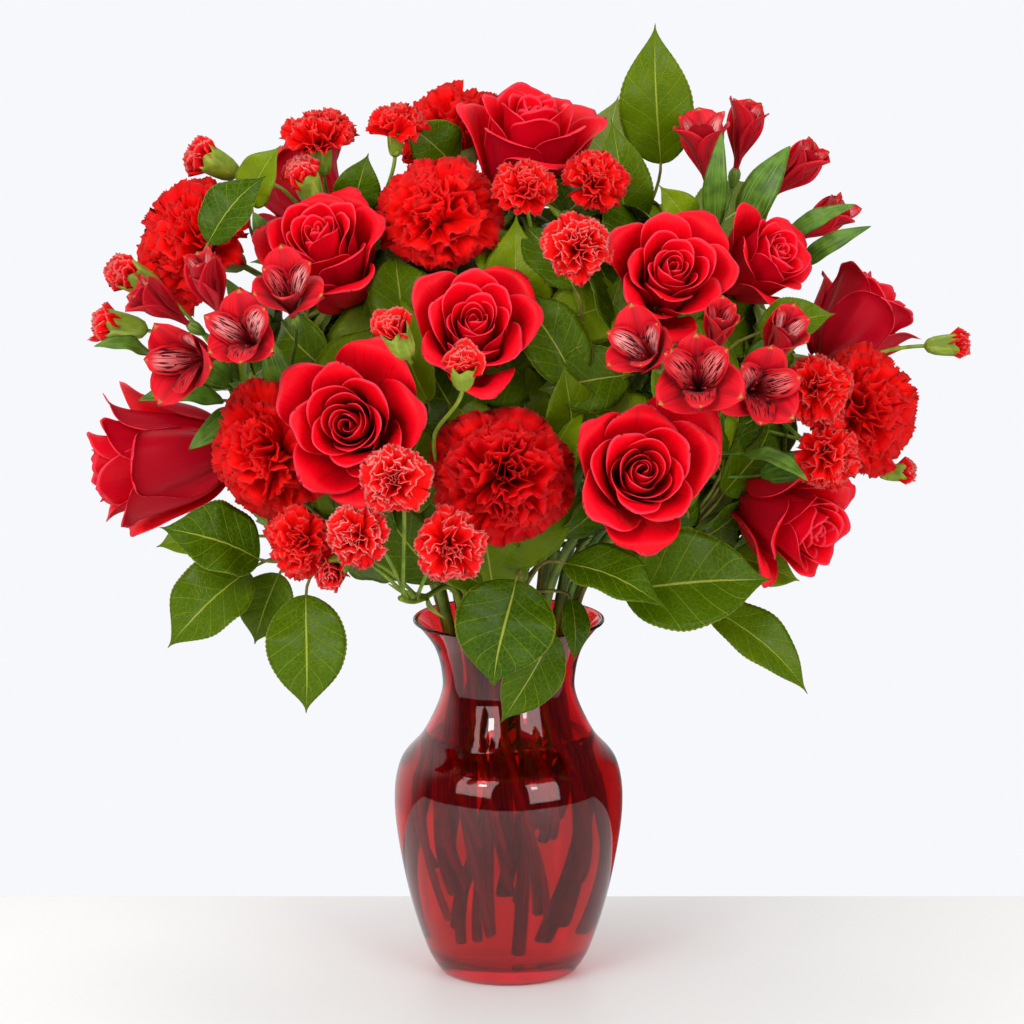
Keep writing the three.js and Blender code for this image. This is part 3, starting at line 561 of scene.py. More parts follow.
CARNATIONS = {
    "carnation_front": bloom_at(-3, -142, 311, -2, 10, 70),
    "carnation_left": bloom_at(-130, -104, 317, -38, 6, 68),
    "carnation_far_left": bloom_at(-174, -25, 420, -62, 28, 70),
    "carnation_upper": bloom_at(-38, -62, 442, -8, 42, 62),
    "carnation_right": bloom_at(197, -48, 328, 58, 6, 66),
    "carnation_back": bloom_at(-60, 120, 344, -165, 16, 74),
    "carnation_back_top": bloom_at(-28, 62, 468, -170, 58, 68),
}
print(len(ROSES), "roses and", len(CARNATIONS), "carnations")

# %% [markdown]
# ## The places of the sprays
#
# A spray carnation forks into several small blooms and buds. Its table gives the point where it forks, and
# a row for each head. pale says how far the petal's edge turns to pink, and via is a point that a long
# stalk passes on its way.

# %% Spray carnations
SPRAYS = {
    "spray_front": dict(
        fork=[-58, -118, 240],
        blooms=[
            bloom_at(-60, -205, 323, -8, 20, 38, pale=0.85),
            bloom_at(-81, -188, 288, -14, 8, 36, pale=1.0),
            bloom_at(-114, -160, 278, -28, 4, 40, pale=0.15),
            bloom_at(-30, -192, 283, 4, 6, 40, pale=0.75),
        ],
        buds=[bloom_at(-94, -166, 262, -16, -14, 19)],
    ),
    "spray_buds": dict(
        fork=[-36, -100, 300],
        blooms=[],
        buds=[
            bloom_at(-61, -190, 402, -30, 50, 21, via=[-56, -110, 370]),
            bloom_at(-23, -205, 386, 2, 50, 19, via=[-39, -150, 334]),
        ],
    ),
    "spray_top": dict(
        fork=[22, -48, 385],
        blooms=[
            bloom_at(8, -84, 461, -6, 42, 36, pale=0.3),
            bloom_at(48, -64, 462, 12, 40, 38, pale=0.2),
            bloom_at(37, -132, 434, 0, 24, 38, pale=0.7),
        ],
        buds=[],
    ),
    "spray_top_left": dict(
        fork=[-92, -15, 410],
        blooms=[
            bloom_at(-104, -22, 484, -20, 74, 44, pale=0.2),
            bloom_at(-61, -25, 489, 10, 80, 34, pale=0.2),
        ],
        buds=[
            bloom_at(-172, -8, 466, -70, 30, 22, via=[-122, -10, 444]),
            bloom_at(-112, -44, 463, -40, 64, 21),
        ],
    ),
    "spray_left": dict(
        fork=[-150, -52, 345],
        blooms=[],
        buds=[
            bloom_at(-211, -60, 409, -62, 30, 23),
            bloom_at(-222, -58, 380, -80, 12, 21),
        ],
    ),
    "spray_right": dict(
        fork=[146, -60, 336],
        blooms=[
            bloom_at(166, -120, 355, 14, 14, 40, pale=0.3),
            bloom_at(174, -124, 317, 24, -4, 39, pale=0.3),
        ],
        buds=[
            bloom_at(252, 2, 357, 88, 2, 17, via=[188, -30, 352]),
            bloom_at(222, -22, 290, 80, 4, 14, via=[176, -48, 308]),
        ],
    ),
    "spray_back": dict(
        fork=[8, 82, 335],
        blooms=[
            bloom_at(2, 140, 300, 178, 6, 42, pale=0.7),
            bloom_at(14, 122, 402, 172, 34, 40, pale=0.3),
        ],
        buds=[
            bloom_at(132, 92, 340, 125, 14, 21),
            bloom_at(-92, 112, 398, -150, 40, 21),
        ],
    ),
}
print(len(SPRAYS), "sprays")

# %% [markdown]
# ## The places of the lilies
#
# A Peruvian lily carries several florets above one fork, with narrow strap leaves below them. open says
# how far a floret has opened, from 0 for a bud to 1.

# %% Peruvian lilies
LILIES = {
    "lily_left": dict(
        fork=[-120, -70, 356],
        florets=[
            bloom_at(-116, -146, 412, -6, 40, 40, open=0.85),
            bloom_at(-160, -108, 410, -40, 62, 36, open=0.45),
            bloom_at(-139, -152, 388, -10, 20, 42, open=1.0),
            bloom_at(-172, -126, 370, -30, 4, 44, open=1.0),
            bloom_at(-190, -88, 396, -62, 34, 36, open=0.55),
        ],
        leaves=[
            leaf_at([-192, -66, 362], [-222, -82, 372], 14, [0, -0.6, 1]),
            leaf_at([-154, -68, 338], [-198, -88, 344], 18, [0, -0.8, 1]),
        ],
    ),
    "lily_right": dict(
        fork=[108, -104, 330],
        florets=[
            bloom_at(99, -172, 369, -2, 22, 46, open=1.0),
            bloom_at(133, -158, 361, 12, 12, 44, open=1.0),
            bloom_at(70, -166, 384, -22, 30, 40, open=0.9),
            bloom_at(110, -150, 392, 10, 52, 34, open=0.5),
            bloom_at(145, -128, 384, 30, 44, 36, open=0.6),
        ],
        leaves=[leaf_at([124, -118, 318], [158, -148, 312], 13, [0, -0.5, 1])],
    ),
    "lily_top_right": dict(
        fork=[112, 2, 398],
        florets=[
            bloom_at(106, -16, 472, -30, 76, 38, open=0.8),
            bloom_at(130, 16, 476, 40, 74, 36, open=0.6),
            bloom_at(160, 2, 456, 62, 46, 38, open=0.5),
            bloom_at(176, 22, 424, 80, 36, 34, open=0.5),
        ],
        leaves=[
            leaf_at([112, -30, 425], [115, -38, 480], 13, [-0.2, -1, 0.1]),
            leaf_at([128, -24, 425], [152, -30, 472], 20, [-0.3, -1, 0.3]),
            leaf_at([152, -14, 418], [188, -26, 440], 11, [-0.3, -1, 0.6]),
            leaf_at([160, -16, 404], [196, -34, 429], 11, [-0.3, -1, 0.5]),
        ],
    ),
}
print(len(LILIES), "lilies")

# %% [markdown]
# ## The places of the branches
#
# Each lemon-leaf branch forks into a few large leaves. Those that show at the rim of the bouquet also say
# how light they are, with tone from 0 to 1, because the photograph shows each of them plainly.

# %% Lemon-leaf branches
BRANCHES = {
    "branch_top": dict(
        fork=[62, 18, 402],
        leaves=[
            leaf_at([84, 14, 456], [80, 8, 534], 41, [-0.1, -1, 0.1], tone=0.35),
            leaf_at([64, -22, 420], [56, -26, 486], 33, [0.1, -1, 0.2]),
            leaf_at([100, -34, 428], [82, -42, 452], 20, [0, -1, 0.4]),
            leaf_at([-30, 8, 456], [-56, -4, 482], 32, [-0.2, -1, 0.6]),
        ],
    ),
    "branch_middle": dict(
        fork=[26, -48, 330],
        leaves=[
            leaf_at([6, -66, 366], [4, -66, 440], 40, [-0.1, -1, 0.2]),
            leaf_at([52, -68, 352], [60, -74, 408], 34, [-0.3, -1, 0.1]),
            leaf_at([34, -92, 318], [30, -118, 366], 34, [0.2, -1, 0.3]),
            leaf_at([-68, -60, 372], [-60, -72, 412], 26, [0, -1, 0.3]),
        ],
    ),
    "branch_left": dict(
        fork=[-110, -45, 380],
        leaves=[
            leaf_at([-160, -92, 428], [-130, -86, 464], 30, [-0.6, -1, 0.3]),
            leaf_at([-86, -26, 434], [-76, -34, 468], 26, [0.1, -1, 0.3]),
            leaf_at([-140, -30, 440], [-124, -44, 474], 26, [-0.3, -1, 0.6]),
        ],
    ),
    "branch_low_left": dict(
        fork=[-88, -72, 262],
        leaves=[
            leaf_at([-134, -104, 258], [-186, -114, 279], 44, [-0.3, -0.8, 0.8]),
            leaf_at([-140, -96, 250], [-184, -112, 212], 42, [-0.5, -1, 0.3]),
            leaf_at([-108, -128, 244], [-108, -142, 182], 43, [0, -1, 0.25], tone=0.15),
            leaf_at([-124, -84, 246], [-138, -90, 208], 30, [-0.2, -1, 0.3]),
            leaf_at([-146, -62, 262], [-192, -66, 258], 30, [-0.2, -0.8, 0.7]),
        ],
    ),
    "branch_low_middle": dict(
        fork=[8, -86, 242],
        leaves=[
            # painted shade: this front leaf faces down, away from the light, so its tone is set to the
            # darkest
            leaf_at([4, -128, 252], [-8, -142, 196], 54, [0.05, -1, 0.35], tone=0.0),
            leaf_at([24, -96, 216], [-4, -108, 168], 32, [0.3, -1, 0.2], tone=0.1),
            leaf_at([30, -124, 260], [84, -140, 241], 36, [0.1, -0.7, 1], tone=0.05),
            leaf_at([-14, -104, 244], [-40, -124, 256], 22, [-0.2, -1, 0.7]),
            leaf_at([34, -66, 228], [36, -78, 196], 16, [0.4, -1, 0.2]),
        ],
    ),
    "branch_low_right": dict(
        fork=[78, -72, 250],
        leaves=[
            leaf_at([62, -102, 240], [142, -104, 248], 56, [0, -1, 0.5], tone=0.12),
            leaf_at([108, -74, 226], [164, -84, 180], 30, [0.4, -1, 0.6], tone=0.25),
            leaf_at([122, -56, 250], [160, -54, 236], 24, [0.2, -1, 0.6]),
            leaf_at([134, -94, 380], [174, -102, 392], 26, [-0.2, -1, 0.5]),
        ],
    ),
    "branch_back": dict(
        fork=[4, 70, 258],
        leaves=[
            leaf_at([-70, 96, 266], [-122, 112, 238], 48, [-0.3, 1, 0.6]),
            leaf_at([-24, 102, 250], [-34, 120, 192], 48, [0, 1, 0.4]),
            leaf_at([36, 98, 246], [66, 116, 200], 48, [0.3, 1, 0.4]),
            leaf_at([84, 84, 278], [140, 92, 256], 46, [0.5, 1, 0.6]),
            leaf_at([42, 104, 286], [72, 132, 312], 42, [0.2, 1, 0.3]),
            leaf_at([-118, 50, 320], [-178, 62, 318], 44, [-0.5, 0.7, 0.9]),
        ],
    ),
    "branch_back_top": dict(
        fork=[6, 48, 372],
        leaves=[
            leaf_at([-20, 92, 388], [-30, 108, 438], 42, [0, 1, 0.4]),
            leaf_at([104, 66, 404], [150, 66, 436], 42, [0.5, 1, 0.5]),
            leaf_at([120, 52, 336], [176, 62, 322], 44, [0.6, 0.8, 0.8]),
            leaf_at([-84, 72, 380], [-146, 84, 392], 44, [-0.4, 1, 0.6]),
            leaf_at([50, 66, 432], [62, 88, 484], 40, [0.2, 1, 0.5]),
        ],
    ),
}
print(len(BRANCHES), "branches")

# %% [markdown]
# ## The stem bundle
#
# Every plant is one cut stem, and all of them lean through the neck of the vase as one bundle. At any height
# their places make the same pattern of four rings, only turned and widened, so that no stem meets another.
# These are the same rule and the same values as in the CAD source. Upright plants go to the middle rings,
# those that lean far out go to the outer ones, and round a ring they keep the order of their heads.

# %% Bundle the stems
RINGS = [(3, 6), (7, 13.5), (12, 21.5), (15, 29)]  # stems in each ring, and the ring's radius in the neck
NECK_HEIGHT, RIM_HEIGHT = 170, 212
RIM_SPREAD, FOOT_SPREAD, FOOT_TWIST = 1.35, 1.2, math.radians(60)
FOOT_HEIGHTS = [15, 22, 17, 27, 19]
CUTS = [1.0, 0.66, 0.84, 0.55, 0.93, 0.74, 0.6, 0.97, 0.79]  # how far down its line each stem reaches
STEM_RADIUS = dict(rose=2.9, carnation=2.2, spray=1.9, lily=2.3, branch=2.0)
CALYX_LENGTH = 26  # of a standard carnation
LEAST_RISE, LEAST_CLIMB = 60, 20  # keep a low fork from turning its stem level


def base_of(bloom, below):
    """The way a bloom faces, and the point that lies `below` under its middle."""
    way = facing(bloom["turn"], bloom["lift"])
    return way, np.array(bloom["at"], float) - below * way


def polar(radius, angle, height):
    """A point from its distance to the axis, its angle and its height."""
    return np.array([radius * math.cos(angle), radius * math.sin(angle), height])


def planted():
    """The plants in order, each with the end of its stem and the way that it arrives there."""
    plants = []
    for name, bloom in ROSES.items():
        way, end = base_of(bloom, 0.4 * bloom["width"])
        plants.append(dict(name=name, kind="rose", end=end, way=way))
    for name, bloom in CARNATIONS.items():
        way, end = base_of(bloom, 0.15 * bloom["width"] + 0.9 * CALYX_LENGTH)
        plants.append(dict(name=name, kind="carnation", end=end, way=way))
    for kind, group in (("spray", SPRAYS), ("lily", LILIES), ("branch", BRANCHES)):
        for name, parts in group.items():
            end = np.array(parts["fork"], float)
            way = unit(np.array([end[0], end[1], max(end[2] - NECK_HEIGHT, LEAST_RISE)]))
            plants.append(dict(name=name, kind=kind, end=end, way=way))
    return plants


def bundle(plants):
    """Gives each plant its foot, its place in the neck and its place above the rim."""
    lean = lambda p: math.hypot(*p["end"][:2]) / max(p["end"][2] - NECK_HEIGHT, LEAST_CLIMB)
    angle = lambda p: math.atan2(p["end"][1], p["end"][0])
    order = sorted(plants, key=lean)
    for count, radius in RINGS:
        ring, order = sorted(order[:count], key=angle), order[count:]
        pitch = 2 * math.pi / count
        offs = [angle(p) - k * pitch for k, p in enumerate(ring)]
        phase = math.atan2(sum(map(math.sin, offs)), sum(map(math.cos, offs)))
        for k, p in enumerate(ring):
            p["ring"], p["angle"] = radius, phase + k * pitch
    for i, p in enumerate(plants):
        r, a = p["ring"], p["angle"]
        foot = polar(r * FOOT_SPREAD, a + FOOT_TWIST, FOOT_HEIGHTS[i % len(FOOT_HEIGHTS)])
        p["neck"] = polar(r, a, NECK_HEIGHT)
        p["foot"] = p["neck"] + CUTS[i % len(CUTS)] * (foot - p["neck"])
        p["rim"] = polar(r * RIM_SPREAD, a, RIM_HEIGHT)
    return {p["name"]: p for p in plants}


PLANTS = bundle(planted())
print("bundled", len(PLANTS), "stems")

# %% [markdown]
# ## Cut stems
#
# A cut stem runs from its foot to the neck, and from there bends to its head above the rim. In the CAD model
# its lower end is straight. The real stems bow out into the belly and were cut at different heights, so here
# each is bowed by half a wave and ends after its own share of the way down, with its cut end rounded over. A
# carnation's stem has a swollen joint every 70 mm or so. The rings of the tube lie about 3 mm apart, so that
# the joints come out round.

# %% Stem paths and tubes
WET_STEP, DRY_STEP = 4, 3  # the distance between rings below and above the rim
BOW = 0.42  # how far a stem bows out in the belly, as a share of its ring's radius
END_RINGS = [(0.4, 0.5), (1.2, 0.8), (2.4, 0.95)]  # how far from the cut, and the share of the radius there
JOINT_PITCH, JOINT_LENGTH, FIRST_JOINT = 68, 2.2, 38


def stem_path(plant):
    """Points along a stem: from the foot up to the neck, bowed out into the belly by a half sine, then to the
    rim, and then the smooth curve to the end. The corner in the neck is eased by averaging each point with
    its neighbours a few times."""
    rows = lambda a, b: np.linspace(a, b, max(3, int(np.linalg.norm(b - a) / WET_STEP)))
    foot, neck, rim, end = (plant[key] for key in ("foot", "neck", "rim", "end"))
    count = max(8, int(np.linalg.norm(end - rim) / DRY_STEP))
    wet = rows(foot, neck)
    swell = np.sin(np.pi * np.linspace(0, 1, len(wet)) ** 0.8)[:, None] * BOW * plant["ring"]
    wet[:, :2] += swell * unit(wet[:, :2])
    path = [wet[:-1], rows(neck, rim)[:-1], bezier(rim, unit(rim - neck), end, plant["way"], count)]
    path = np.concatenate(path)
    for _ in range(6):
        path[1:-1] = path[1:-1] * 0.5 + (path[:-2] + path[2:]) * 0.25
    return path


def stem_tube(plant, chance):
    """The stem's tube, whose radius falls by a fifth, plus 40% in a bell curve at each joint. Three close
    rings round its cut end over."""
    path = stem_path(plant)
    depths, shares = np.array(END_RINGS).T
    cut = path[0] + unit(path[1] - path[0]) * depths[:, None]
    path = np.concatenate([path[:1], cut, path[1:]])
    run = walked(path)
    radii = STEM_RADIUS[plant["kind"]] * (1 - 0.2 * run / run[-1])
    radii[:3] *= shares
    joints = []
    if plant["kind"] in ("carnation", "spray"):
        joints = np.arange(run[-1] - FIRST_JOINT, 60, -JOINT_PITCH + 6 * chance.random())
        bells = np.exp(-(((run[:, None] - joints) / JOINT_LENGTH) ** 2)).sum(1)
        radii = radii * (1 + 0.4 * bells)
    elif plant["kind"] == "branch":
        radii = radii * (1 + 0.06 * np.sin(run / 9 + 6 * chance.random()))
    return tube(path, radii, 9, tone=chance.random()), path, run, joints


print("a stem has", len(stem_path(PLANTS["rose_top"])), "rings")

# %% [markdown]
# ## Blades
#
# Leaves, sepals, bracts and thin leaflets are blades: a middle line, a half width that changes along it, and
# a way that the upper face looks. One function makes them all. It can fold the blade along its rib, wave its
# edge, lift the skin between the side veins and pull points of the border in by turns, which makes a saw
# edge.

# %% Blades
def blade(line, half, face, thickness, cols=7, fold=0.25, wave=0.0, lift=0.0, saw=0.0, phase=0.0, **marks):
    """A sheet on a middle line: each point is the line, plus u times the half width aside, plus up by the
    fold (share of the half width times |u|), the wave at the edge and the lift between side veins."""
    line = np.asarray(line, float)
    rows = len(line)
    along = unit(np.gradient(line, axis=0))
    aside = unit(np.cross(along, np.asarray(face, float)))
    up = np.cross(aside, along)
    u = np.linspace(-1, 1, cols)[None, :]
    v = np.linspace(0, 1, rows)[:, None]
    half = np.asarray(half, float)[:, None]
    edge = 1 - saw * (np.arange(rows) % 2)[:, None] * (np.abs(u) > 0.99)
    height = half * (fold * np.abs(u) + wave * u * np.sin(5 * np.pi * v + phase))
    cushions = np.abs(np.sin(np.pi * (SIDE_VEINS * v - VEIN_LEAN * np.abs(u) ** VEIN_BEND)))
    height = height + lift * cushions * (1 - u**4) * np.sin(np.pi * v) ** 0.5
    middle = line[:, None] + (u * half * edge)[..., None] * aside[:, None] + height[..., None] * up[:, None]
    return sheets(middle[None], thickness, u, v, **marks)


def leaf_stalk(root, line, along, count, sides, **marks):
    """The stalk from its root on the stem to the start of a leaf's middle line."""
    path = bezier(root, unit(line[0] - root), line[1], along, count, 0.3)
    return tube(path, np.linspace(1.2, 0.8, count), sides, **marks)


def lemon_leaf_blade(root, item, chance, rows=57, cols=13):
    """A leaf and its stalk. The half width is width / 2 times the sine of pi s^0.8, to a power that rises
    towards the tip, which draws the tip out to a point. The middle bows by a tenth of the length."""
    base, tip, face = (np.array(item[k], float) for k in ("base", "tip", "face"))
    length, along, up = aim(base, tip, face)
    s = np.linspace(0, 1, rows)
    bow = 0.1 * length * np.sin(np.pi * s) - 0.05 * length * s**4
    sway = 0.03 * length * chance.normal() * np.sin(np.pi * s) * s
    line = base + along * (length * s)[:, None] + up * bow[:, None]
    line = line + unit(np.cross(along, face)) * sway[:, None]
    half = 0.6 * (1 - s) + item["width"] / 2 * np.sin(np.pi * s**0.8) ** (0.78 + 0.9 * s**3)
    leaf = blade(
        line, half, face, 0.5, cols=cols, fold=0.2 + 0.1 * chance.random(), wave=0.08, lift=0.45, saw=0.02,
        phase=6 * chance.random(), tone=item.get("tone", chance.random() ** 1.7),
    )
    return leaf, leaf_stalk(root, line, along, 12, 7, tone=chance.random())


def strap_leaf_blade(root, item, chance):
    """A lily's strap leaf: a long narrow blade that is widest below its middle and turns its tip down."""
    base, tip, face = (np.array(item[k], float) for k in ("base", "tip", "face"))
    length, along, up = aim(base, tip, face)
    s = np.linspace(0, 1, 27)
    bow = 0.12 * length * np.sin(np.pi * s) - 0.06 * length * s**3
    line = base + along * (length * s)[:, None] + up * bow[:, None]
    half = 0.7 * (1 - s) + item["width"] / 2 * np.sin(np.pi * s**0.8) ** 0.85
    phase, tone = 6 * chance.random(), chance.random()
    leaf = blade(line, half, face, 0.5, cols=9, fold=0.16, wave=0.1, phase=phase, tone=tone)
    return leaf, leaf_stalk(root, line, along, 10, 6)


example = leaf_at([0, 0, 0], [0, 0, 60], 40, [0, -1, 0])
leaf_points = len(lemon_leaf_blade(np.zeros(3) - 9, example, np.random.default_rng(1))[0][0])
print("a large leaf has", leaf_points, "points")

# %% [markdown]
# ## The rose
#
# An open rose has some forty petals set on a spiral, each about 137.5 degrees on from the last. The inner
# ones are furled round each other and lean inwards. Going out they stand up, then flare, and their lips roll
# back, more at the sides than in the middle, which is what gives an old petal its point. They could be
# sculpted one by one, but a rule makes all of them: each petal is a grid in u and v whose middle line is a
# cubic curve from its root to its rim, and everything that changes from the heart to the outside is a
# function of the petal's place t in the spiral, from 0 to 1. The innermost petals don't show, so 25 are
# enough.

# %% Rose petals
GOLDEN = math.radians(137.508)
ROSE_DEPTH = 0.55  # how far the outer petals reach down past the bloom's base, as a share of its radius
ROSE_PETALS = 25


def rose_bloom(radius, spread, deep, chance):
    """All the petals of a rose as sheets, along +Z. Each petal's middle line is the cubic curve from its root
    to its rim, and the angle round the rose is the petal's own plus u times a half angle, which narrows at
    the rim so that the corners are round. Past a line that lies lower at the petal's sides, the lip rolls
    back along the curve's normal by powers of the distance. Two sines of u make the petal wavy, and a
    crease follows one line up it. spread opens the outer petals, and deep stretches the bloom."""
    own = lambda size: chance.normal(0, size, (ROSE_PETALS, 1, 1))
    sine = lambda turns: np.sin(2 * np.pi * turns + own(2))
    spiral = np.arange(ROSE_PETALS)[:, None, None]
    t = spiral / (ROSE_PETALS - 1)
    v = np.linspace(0, 1, 21)[None, :, None]
    u = np.linspace(-1, 1, 25)[None, None, :]
    # Where the rim stands, how far it tilts outwards, and how far round the rose the petal reaches.
    turn = GOLDEN * spiral + own(0.12)
    rim = radius * (0.035 + 0.56 * t + 0.54 * spread * t**3) * (1 + own(0.035))
    height = deep * radius * (0.83 + 0.1 * np.sin(np.pi * t**1.1) - 0.32 * spread * t**4 + own(0.03))
    tilt = np.radians(-14 + 26 * t + 76 * spread * t**2.4 + own(6))
    half = (1.95 - 1.0 * t**0.8) * (1 + own(0.05))
    # The outline of the rim: round shoulders, and a small point and notches on the outer petals.
    point = 0.06 * np.exp(-((u / 0.2) ** 2)) + 0.018 * np.sin(7 * u + own(3))
    top = 1 - 0.03 * np.abs(u) - (0.16 + 0.3 * t) * np.abs(u) ** 2.8 + t * point
    w = np.clip(v * top, 0, 1.04)
    # The middle line, from the root to the rim.
    root_r, root_z = radius * (0.02 + 0.1 * t), -ROSE_DEPTH * radius * (0.4 + 0.6 * t)
    hold = radius * (0.34 + 0.1 * t)
    r = cubic(w, root_r, root_r + radius * (0.02 + 0.56 * t**1.3), rim - hold * np.sin(tilt), rim)
    z = cubic(w, root_z, root_z + radius * (0.3 - 0.2 * t), height - hold * np.cos(tilt), height)
    # The lip rolls back past the fold.
    fold = 0.9 - 0.06 * t - 0.36 * t * u**2
    lip = np.clip((w - fold) / (1 - fold), 0, 1)
    curl = radius * (0.004 + 0.21 * t**2.2 * (1 + own(0.45))) * (0.4 + 1.0 * u**2)
    r = r + curl * (lip**1.6 * np.cos(tilt) - 0.75 * lip**2.6 * np.sin(tilt))
    z = z - curl * (lip**1.6 * np.sin(tilt) + 0.75 * lip**2.6 * np.cos(tilt))
    # One side of each petal lies over its neighbour, and the skin has waves and a crease.
    r = r + radius * (0.03 + own(0.012)) * u * w
    waves = 0.05 * sine(0.7 * u)
    waves = waves + (0.012 + 0.016 * t) * sine(1.3 * u + 0.6 * w)
    crease = 0.035 * np.abs(u - 0.35 * np.sin(own(2))) ** 0.7 * w
    r = r + radius * t * (waves - crease) * np.sin(np.pi * np.minimum(w, 1)) ** 0.7
    z = z + radius * 0.035 * t * w**3 * sine(0.55 * u)
    r = np.maximum(r, 0.012 * radius)
    narrow = (0.2 + 0.8 * np.sin(np.pi / 2 * np.minimum(1, w / 0.55))) * (1 - 0.2 * (0.4 + 0.6 * t) * v**5)
    angle = turn + u * half * narrow
    middle = np.stack([r * np.cos(angle), r * np.sin(angle), z], -1)
    # u runs anticlockwise here, so it is taken backwards to put side 0 on the inner face.
    tone = chance.random((ROSE_PETALS, 1, 1))
    return sheets(middle[:, :, ::-1], 0.4, u[:, :, ::-1], v, tone=tone, layer=t)


print("a rose has", 2 * len(rose_bloom(40, 1, 1, np.random.default_rng(1))[1][0]), "triangles of petals")

# %% [markdown]
# ## Under the rose
#
# The petals stand on a green hip, the swollen end of the stem. Five narrow sepals grow from its rim. They
# covered the bud once, and on an open rose they bend down and curl at their tips. The stem has hooked thorns.

# %% Hip, sepals and thorns
HIP_PROFILE = [[2.3, -11], [2.9, -9.5], [5.0, -6.5], [5.8, -3.6], [5.4, -1], [4.3, 0.2], [0.1, 0.6]]


def rose_sepals(radius, chance):
    """Five blades whose middle line leaves the hip outwards and falls, then turns back at the tip."""
    parts = []
    s = np.linspace(0, 1, 15)
    for k in range(5):
        a = 2 * math.pi * k / 5 + chance.normal(0, 0.15)
        droop = 0.25 + 0.25 * chance.random()
        r = 5 + radius * 0.62 * s - 0.1 * radius * s**3
        z = -1.5 - radius * droop * s**1.6 + radius * 0.12 * s**4
        line = np.stack([r * math.cos(a), r * math.sin(a), z], -1)
        half = 3.2 * (1 - s) ** 0.7 * (0.6 + 0.8 * np.sin(np.pi * np.minimum(1, s * 1.6) / 2)) + 0.25
        tone = chance.random()
        parts.append(blade(line, half, UP, 0.5, cols=5, fold=-0.25, wave=0.1, tone=tone, pale=0.35))
    return parts


def thorns(path, run, chance):
    """Short hooked cones on the stem, where it shows above the rim."""
    parts = []
    s = np.linspace(0, 1, 6)[:, None]
    for at in np.arange(run[-1] - 40, run[-1] - 150, -34):
        i = int(np.searchsorted(run, at))
        way = unit(path[i] - path[i - 1])
        side = unit(np.cross(way, chance.normal(size=3)))
        line = path[i] + side * (2 + 4.2 * s) - way * 2.2 * s**2
        parts.append(tube(line, 1.5 * (1 - s[:, 0]) ** 1.3 + 0.08, 6, tone=0.4, pale=0.6))
    return parts


# %% [markdown]
# ## A whole rose
#
# The petals are one piece and everything green is another, because a piece has one finish. Each plant draws
# its random numbers from a seed of its own, so a change to one rose leaves the others as they are.

# %% Make the roses
def make_rose(name, bloom, chance):
    """One rose: its petals, and its green with stem, hip, sepals and thorns. A rose that is blown open is
    grown a little over its CAD width."""
    radius = bloom["width"] / 2 * bloom.get("grown", 1.0)
    way, base = base_of(bloom, 0.3 * bloom["width"])
    stem, path, run, _ = stem_tube(PLANTS[name], chance)
    under = [turned(HIP_PROFILE, 18), *rose_sepals(radius, chance)]
    seat = base - ROSE_DEPTH * radius * way
    green = [stem] + [moved(p, seat, way) for p in under] + thorns(path, run, chance)
    petals = rose_bloom(radius, bloom.get("spread", 1.0), bloom.get("deep", 1.0), chance)
    piece(name + "_bloom", [moved(petals, base, way)], rose_petal, name + "_petals")
    piece(name + "_green", green, rose_green, name + "_stem")


def make_all(group, make, seed):
    """Makes each plant of a group, with random draws that start from its own seed."""
    for i, (name, item) in enumerate(group.items()):
        make(name, item, np.random.default_rng(seed + i))
    print(len(group), "more plants, and", sum(made.values()), "triangles in all")


make_all(ROSES, make_rose, 100)

# %% [markdown]
# ## The carnation
#
# A carnation is a dome of fan-shaped petals that stand on narrow claws in a green tube. Each fan is crimped
# across, and its edge is cut into teeth. In the middle the fans are crowded and stand on edge, every way
# round, so one sees only their crumpled rims. At the outside they lie flat and show their faces. Displacing a
# ball would give a rough lump with no depth between the fans, so each fan is a sheet of its own. The tips are
# spread evenly over a dome, which the angle arccos(1 - t (1 - cos limit)) gives for t from 0 to 1. No real
# head is quite round, so its reach goes up and down round the bloom.

